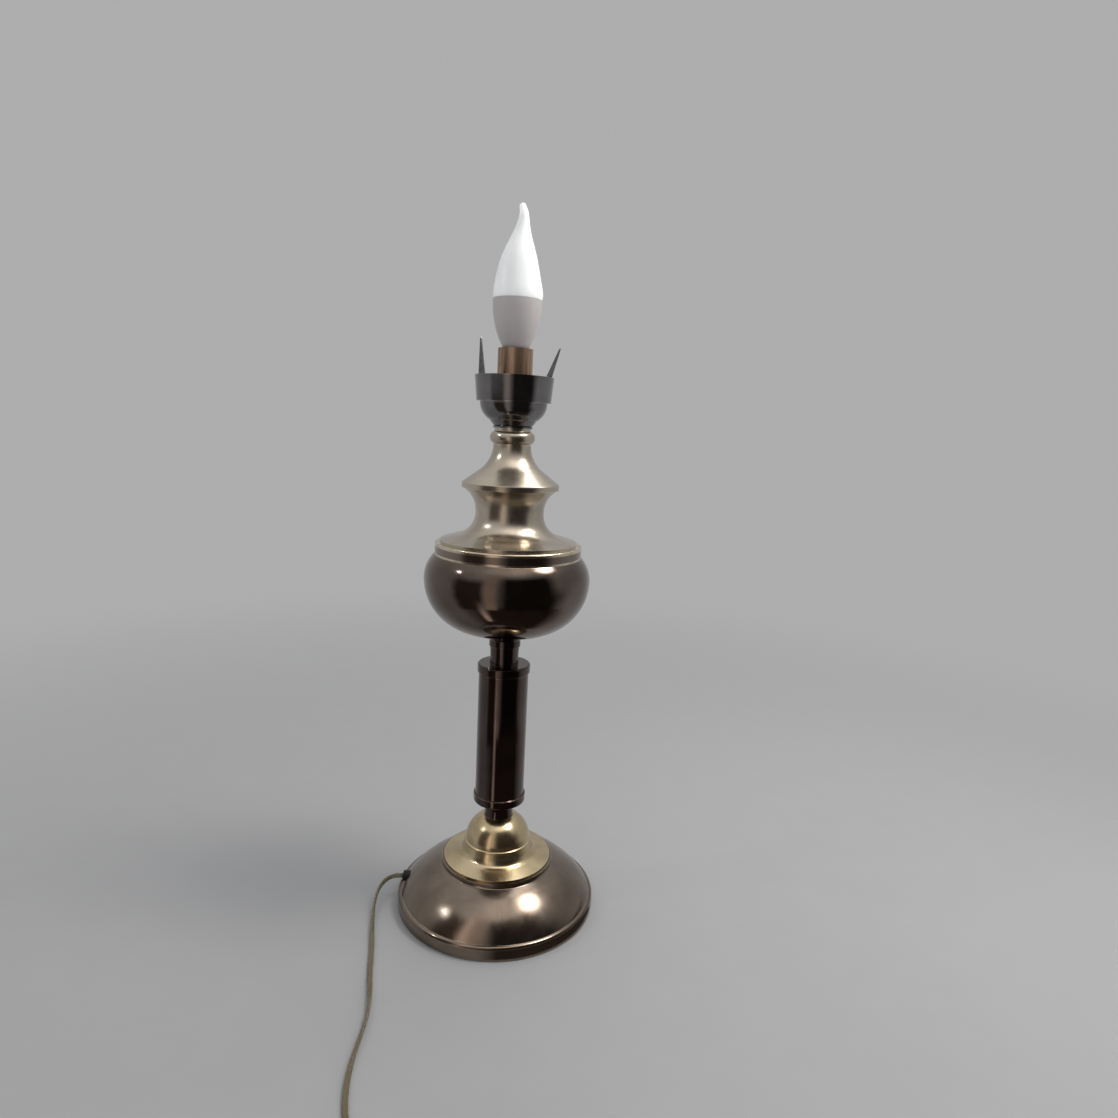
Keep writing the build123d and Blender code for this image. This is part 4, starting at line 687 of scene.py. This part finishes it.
def threaded_cap():
    """A rolled thread: a round ridge that climbs by one pitch a turn and fades out at both ends."""
    shape = bmesh.new()
    rings = []
    for row in range(THREAD_ROWS + 1):
        height = CAP_LOW + (CAP_HIGH - CAP_LOW) * row / THREAD_ROWS
        depth = THREAD_DEPTH * smooth_step(min(height - CAP_LOW, CAP_HIGH - height) / THREAD_FADE)
        ring = []
        for step in range(THREAD_STEPS):
            around = step / THREAD_STEPS
            ridge = 0.5 + 0.5 * math.cos(2 * math.pi * (height / THREAD_PITCH - around))
            radius = THREAD_R - depth * (1 - ridge)
            angle = 2 * math.pi * around
            ring.append(shape.verts.new((radius * math.cos(angle), radius * math.sin(angle), height)))
        rings.append(ring)
    skin(shape, rings)
    return shape


screw_cap = add_piece("threaded_cap", threaded_cap(), MATERIALS["nickel"], "bulb")
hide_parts("bulb_screw_cap")


# Small details in millimetres: grips on the plug, marks on the rocker

# A low bar: its section in shares of its width and height, and how far it is drawn in along its length
BAR_SECTION = [(-0.5, 0.0), (-0.5, 0.45), (-0.3, 1.0), (0.3, 1.0), (0.5, 0.45), (0.5, 0.0)]
BAR_STATIONS = [(-0.5, 0.55), (-0.46, 0.9), (-0.4, 1.0), (0.4, 1.0), (0.46, 0.9), (0.5, 0.55)]
GRIP_COUNT, GRIP_FIRST_X, GRIP_PITCH = 4, -22.4, 3.8
GRIP_LONGEST, GRIP_TAPER, GRIP_W, GRIP_H = 23.0, 1.4, 1.7, 0.75
GRIP_FOOT_Z = 13.95
# The rocker's dip and ends, as (x from the switch's middle, height)
ROCKER_DIP, ROCKER_RIGHT, ROCKER_LEFT = (0.41, 15.17), (7.97, 15.52), (-6.84, 17.34)
MARK_SINK, MARK_H = 0.05, 0.2
MARK_BAR_L, MARK_BAR_W = 2.8, 0.55
MARK_RING_R, MARK_RING_W, MARK_RING_STEPS = 1.35, 0.5, 32


def add_bar(shape, middle, directions, sizes):
    """A low bar with rounded top and ends, from its directions and sizes along, across and up."""
    along, across, up = (direction * size for direction, size in zip(directions, sizes))
    rings = []
    for share, drawn in BAR_STATIONS:
        ring = [middle + along * share + (across * a + up * b) * drawn for a, b in BAR_SECTION]
        rings.append([shape.verts.new(place * MM) for place in ring])
    skin(shape, rings)


def plug_grips():
    """Low bars across the plug's top, each shorter than the last as the plug narrows."""
    shape = bmesh.new()
    for index in range(GRIP_COUNT):
        middle = Vector((GRIP_FIRST_X + GRIP_PITCH * index, PLUG_Y, GRIP_FOOT_Z))
        length = GRIP_LONGEST - GRIP_TAPER * index
        add_bar(shape, middle, (Y_AXIS, X_AXIS, Z_AXIS), (length, GRIP_W, GRIP_H))
    return shape


def rocker_slope(end):
    """Middle, direction and normal of one of the rocker's two slopes."""
    low = Vector((SWITCH_X + ROCKER_DIP[0], SWITCH_Y, ROCKER_DIP[1]))
    high = Vector((SWITCH_X + end[0], SWITCH_Y, end[1]))
    along = (high - low).normalized()
    normal = Vector((-along.z, 0, along.x))
    if normal.z < 0:
        normal = -normal
    return (low + high) / 2 - normal * MARK_SINK, along, normal


def rocker_marks():
    """A bar on the rocker's left slope and a ring on its right one."""
    shape = bmesh.new()
    middle, along, normal = rocker_slope(ROCKER_LEFT)
    add_bar(shape, middle, (along, Y_AXIS, normal), (MARK_BAR_L, MARK_BAR_W, MARK_H))
    middle, along, normal = rocker_slope(ROCKER_RIGHT)
    inner_r = MARK_RING_R - MARK_RING_W
    rings = []
    for radius, lift in ((inner_r, 0.0), (inner_r, MARK_H), (MARK_RING_R, MARK_H), (MARK_RING_R, 0.0)):
        ring = []
        for step in range(MARK_RING_STEPS):
            angle = 2 * math.pi * step / MARK_RING_STEPS
            outward = along * math.cos(angle) + Y_AXIS * math.sin(angle)
            ring.append(shape.verts.new((middle + outward * radius + normal * lift) * MM))
        rings.append(ring)
    skin(shape, rings, looped=True)
    return shape


grips = add_piece("plug_grips", plug_grips(), MATERIALS["black_plastic"], "lamp")
marks = add_piece("rocker_marks", rocker_marks(), MATERIALS["white_board"], "switch_rocker")


# Floor and surroundings
FLOOR_R, FLOOR_SIDES, FLOOR_SINK = 4.0, 96, 0.4 * MM
FLOOR_COLOUR, FLOOR_SPECKLE = (0.27, 0.27, 0.274), 1.05
FADE_START, FADE_END = 0.2, 1.3
PALE = (0.42, 0.42, 0.425)
CEILING, CEILING_START, CEILING_END = (0.75, 0.75, 0.745), 0.45, 0.9
FILL_COLOUR, FILL_STRENGTH = (0.98, 0.99, 1.0), 0.8


def eye_or_mirror(tree):
    """1 for what the eye, a mirror or glass sees, 0 for light that falls on things."""
    path = node(tree, "ShaderNodeLightPath").outputs
    found = path["Is Camera Ray"]
    for kind in ("Is Glossy Ray", "Is Transmission Ray"):
        found = work_out(tree, "ShaderNodeMath", "MAXIMUM", found, path[kind])
    return found


def glow(tree, colour):
    """A plain colour that needs no light."""
    return node(tree, "ShaderNodeEmission", Color=colour, Strength=1.0).outputs["Emission"]


def see_through(tree):
    """No surface at all."""
    return node(tree, "ShaderNodeBsdfTransparent").outputs["BSDF"]


def floor_material():
    """Pale floor that runs out into the surroundings without a visible horizon."""
    made, tree, shader = new_material("floor")
    where = object_place(tree)
    grain = noise(tree, where, scale=30.0, detail=4.0, roughness=0.5)
    dress(tree, shader, {
        "Base Color": blend(tree, grain, FLOOR_COLOUR, tuple(FLOOR_SPECKLE * part for part in FLOOR_COLOUR)),
        "Roughness": 0.75,
        "Specular IOR Level": 0.2,
    })
    from_lamp = work_out(tree, "ShaderNodeVectorMath", "LENGTH", where)
    far = rise(tree, from_lamp, FADE_START, FADE_END, ramp="SMOOTHSTEP")
    beyond = mixed(tree, eye_or_mirror(tree), see_through(tree), glow(tree, PALE))
    surface = mixed(tree, far, shader.outputs["BSDF"], beyond)
    feed(tree, surface, tree.nodes["Material Output"].inputs["Surface"])
    return made


def add_floor():
    """A round floor, a little lower than the felt."""
    shape = bmesh.new()
    bmesh.ops.create_circle(shape, cap_ends=True, segments=FLOOR_SIDES, radius=FLOOR_R)
    floor = object_of("floor", shape, floor_material())
    floor.location.z = -FLOOR_SINK


def add_world():
    """Pale surroundings for the eye, mirrors and glass, and a plain soft fill for everything else."""
    world = bpy.data.worlds.new("world")
    bpy.context.scene.world = world
    world.use_nodes = True
    tree = world.node_tree
    tree.nodes.clear()
    towards = node(tree, "ShaderNodeTexCoord").outputs["Generated"]
    height = node(tree, "ShaderNodeSeparateXYZ", Vector=towards).outputs["Z"]
    above = rise(tree, height, CEILING_START, CEILING_END)
    seen = node(tree, "ShaderNodeBackground", Color=blend(tree, above, PALE, CEILING))
    fill = node(tree, "ShaderNodeBackground", Color=FILL_COLOUR, Strength=FILL_STRENGTH)
    shown = mixed(tree, eye_or_mirror(tree), fill.outputs["Background"], seen.outputs["Background"])
    node(tree, "ShaderNodeOutputWorld", Surface=shown)


# Soft lights
LIGHT_MIDDLE = (0.5, 0.5, 0.0)
GLOW_START, GLOW_END = 0.05, 0.5
LIGHTS = {
    "key": dict(
        place=(0.62, -0.1, 1.2), target=(0, 0, 0.25), size=(0.62, 0.62), power=31.0,
        colour=(1.0, 0.97, 0.93), fades=True,
    ),
    "fill": dict(
        place=(-1.02, -0.2, 1.0), target=(0, 0, 0.3), size=(0.035, 0.035), power=1.1,
        colour=(0.96, 0.98, 1.0),
    ),
    "side": dict(
        place=(0.85, -0.1, 0.5), target=(0, 0, 0.45), size=(0.32, 0.6), power=1.7,
        colour=(1.0, 0.98, 0.95), mirrored=False,
    ),
    "top": dict(
        place=(0.3, 0.5, 1.8), target=(0, 0, 0.2), size=(0.9, 0.9), power=6.0,
        colour=(1.0, 1.0, 1.0),
    ),
}


def fade_to_edge(data):
    """The light is brightest in its middle, so that its mirror image has no outline."""
    data.use_nodes = True
    tree = data.node_tree
    on_light = node(tree, "ShaderNodeNewGeometry").outputs["Parametric"]
    from_middle = work_out(tree, "ShaderNodeVectorMath", "DISTANCE", on_light, LIGHT_MIDDLE)
    strength = remap(tree, from_middle, (GLOW_START, GLOW_END), (1.0, 0.0), "SMOOTHSTEP")
    feed(tree, strength, tree.nodes["Emission"].inputs["Strength"])


def add_light(name, place, target, size, power, colour, mirrored=True, fades=False):
    """A flat light turned towards its target. Metal shows it only where it is mirrored."""
    data = bpy.data.lights.new(name, "AREA")
    data.shape = "RECTANGLE"
    data.size, data.size_y = size
    data.energy = power
    data.color = colour
    if fades:
        fade_to_edge(data)
    made = bpy.data.objects.new(name, data)
    made.location = place
    made.rotation_euler = (Vector(target) - Vector(place)).to_track_quat("-Z", "Y").to_euler()
    made.visible_glossy = mirrored
    bpy.context.scene.collection.objects.link(made)


# Cards round the lamp that only its mirrors show: angles in degrees, edges as (radius, height)
CARD_STEPS = 24
CARD_MIDDLE = 0.5
CARDS = {
    "overhead_card": dict(
        start=212.0, end=378.0, near_edge=(0.02, 1.25), far_edge=(0.95, 1.25),
        colour=(1.5, 1.43, 1.37), soft=0.4,
    ),
    "dark_card": dict(
        start=252.0, end=340.0, near_edge=(0.34, 0.0), far_edge=(0.34, 0.60),
        colour=(0.02, 0.016, 0.015), soft=0.2,
    ),
    "low_card": dict(
        start=296.0, end=360.0, near_edge=(0.36, 0.0), far_edge=(0.36, 0.32),
        colour=(0.03, 0.024, 0.022), soft=0.45,
    ),
    "floor_card": dict(
        start=196.0, end=372.0, near_edge=(0.10, 0.02), far_edge=(0.40, 0.02),
        colour=(0.05, 0.038, 0.034), soft=0.2,
    ),
    "rim_card": dict(
        start=262.0, end=356.0, near_edge=(0.0845, 0.0006), far_edge=(0.15, 0.0006),
        colour=(0.06, 0.046, 0.04), soft=0.1,
    ),
    "bright_card": dict(
        start=239.0, end=260.0, near_edge=(0.33, 0.0), far_edge=(0.33, 0.62),
        colour=(0.60, 0.50, 0.445), soft=0.3,
    ),
    "strip_card": dict(
        start=234.0, end=249.0, near_edge=(0.15, 0.0), far_edge=(0.15, 0.24),
        colour=(1.25, 1.05, 0.94), soft=0.45,
    ),
    "brown_card": dict(
        start=196.0, end=246.0, near_edge=(0.345, 0.0), far_edge=(0.345, 0.46),
        colour=(0.065, 0.048, 0.04), soft=0.2,
    ),
}


def card_material(name, colour, soft):
    """A glow that fades away at the card's ends and far edge."""
    made, tree, shader = new_material(name)
    tree.nodes.remove(shader)
    on_card = node(tree, "ShaderNodeTexCoord").outputs["UV"]
    place = node(tree, "ShaderNodeSeparateXYZ", Vector=on_card).outputs
    from_end = work_out(tree, "ShaderNodeMath", "PINGPONG", place["X"], CARD_MIDDLE)
    ends = rise(tree, from_end, 0.0, soft)
    far_edge = rise(tree, place["Y"], 1.0, 1.0 - soft)
    shown = mixed(tree, times(tree, ends, far_edge), see_through(tree), glow(tree, colour))
    feed(tree, shown, tree.nodes["Material Output"].inputs["Surface"])
    return made


def add_card(name, start, end, near_edge, far_edge, colour, soft):
    """A card between two edges, with its own way along it and across it as UV coordinates."""
    shape = bmesh.new()
    across = shape.loops.layers.uv.new("across")
    rows = []
    for step in range(CARD_STEPS + 1):
        angle = math.radians(start + (end - start) * step / CARD_STEPS)
        edges = [(r * math.cos(angle), r * math.sin(angle), height) for r, height in (near_edge, far_edge)]
        rows.append([shape.verts.new(place) for place in edges])
    for step in range(CARD_STEPS):
        (near, far), (next_near, next_far) = rows[step], rows[step + 1]
        face = shape.faces.new((near, next_near, next_far, far))
        for loop, (u, v) in zip(face.loops, ((step, 0), (step + 1, 0), (step + 1, 1), (step, 1))):
            loop[across].uv = (u / CARD_STEPS, v)
    card = object_of(name, shape, card_material(name, colour, soft))
    card.visible_camera = False
    card.visible_diffuse = False
    card.visible_shadow = False
    card.visible_transmission = False


add_floor()
add_world()
for name, look in LIGHTS.items():
    add_light(name, **look)
for name, look in CARDS.items():
    add_card(name, **look)
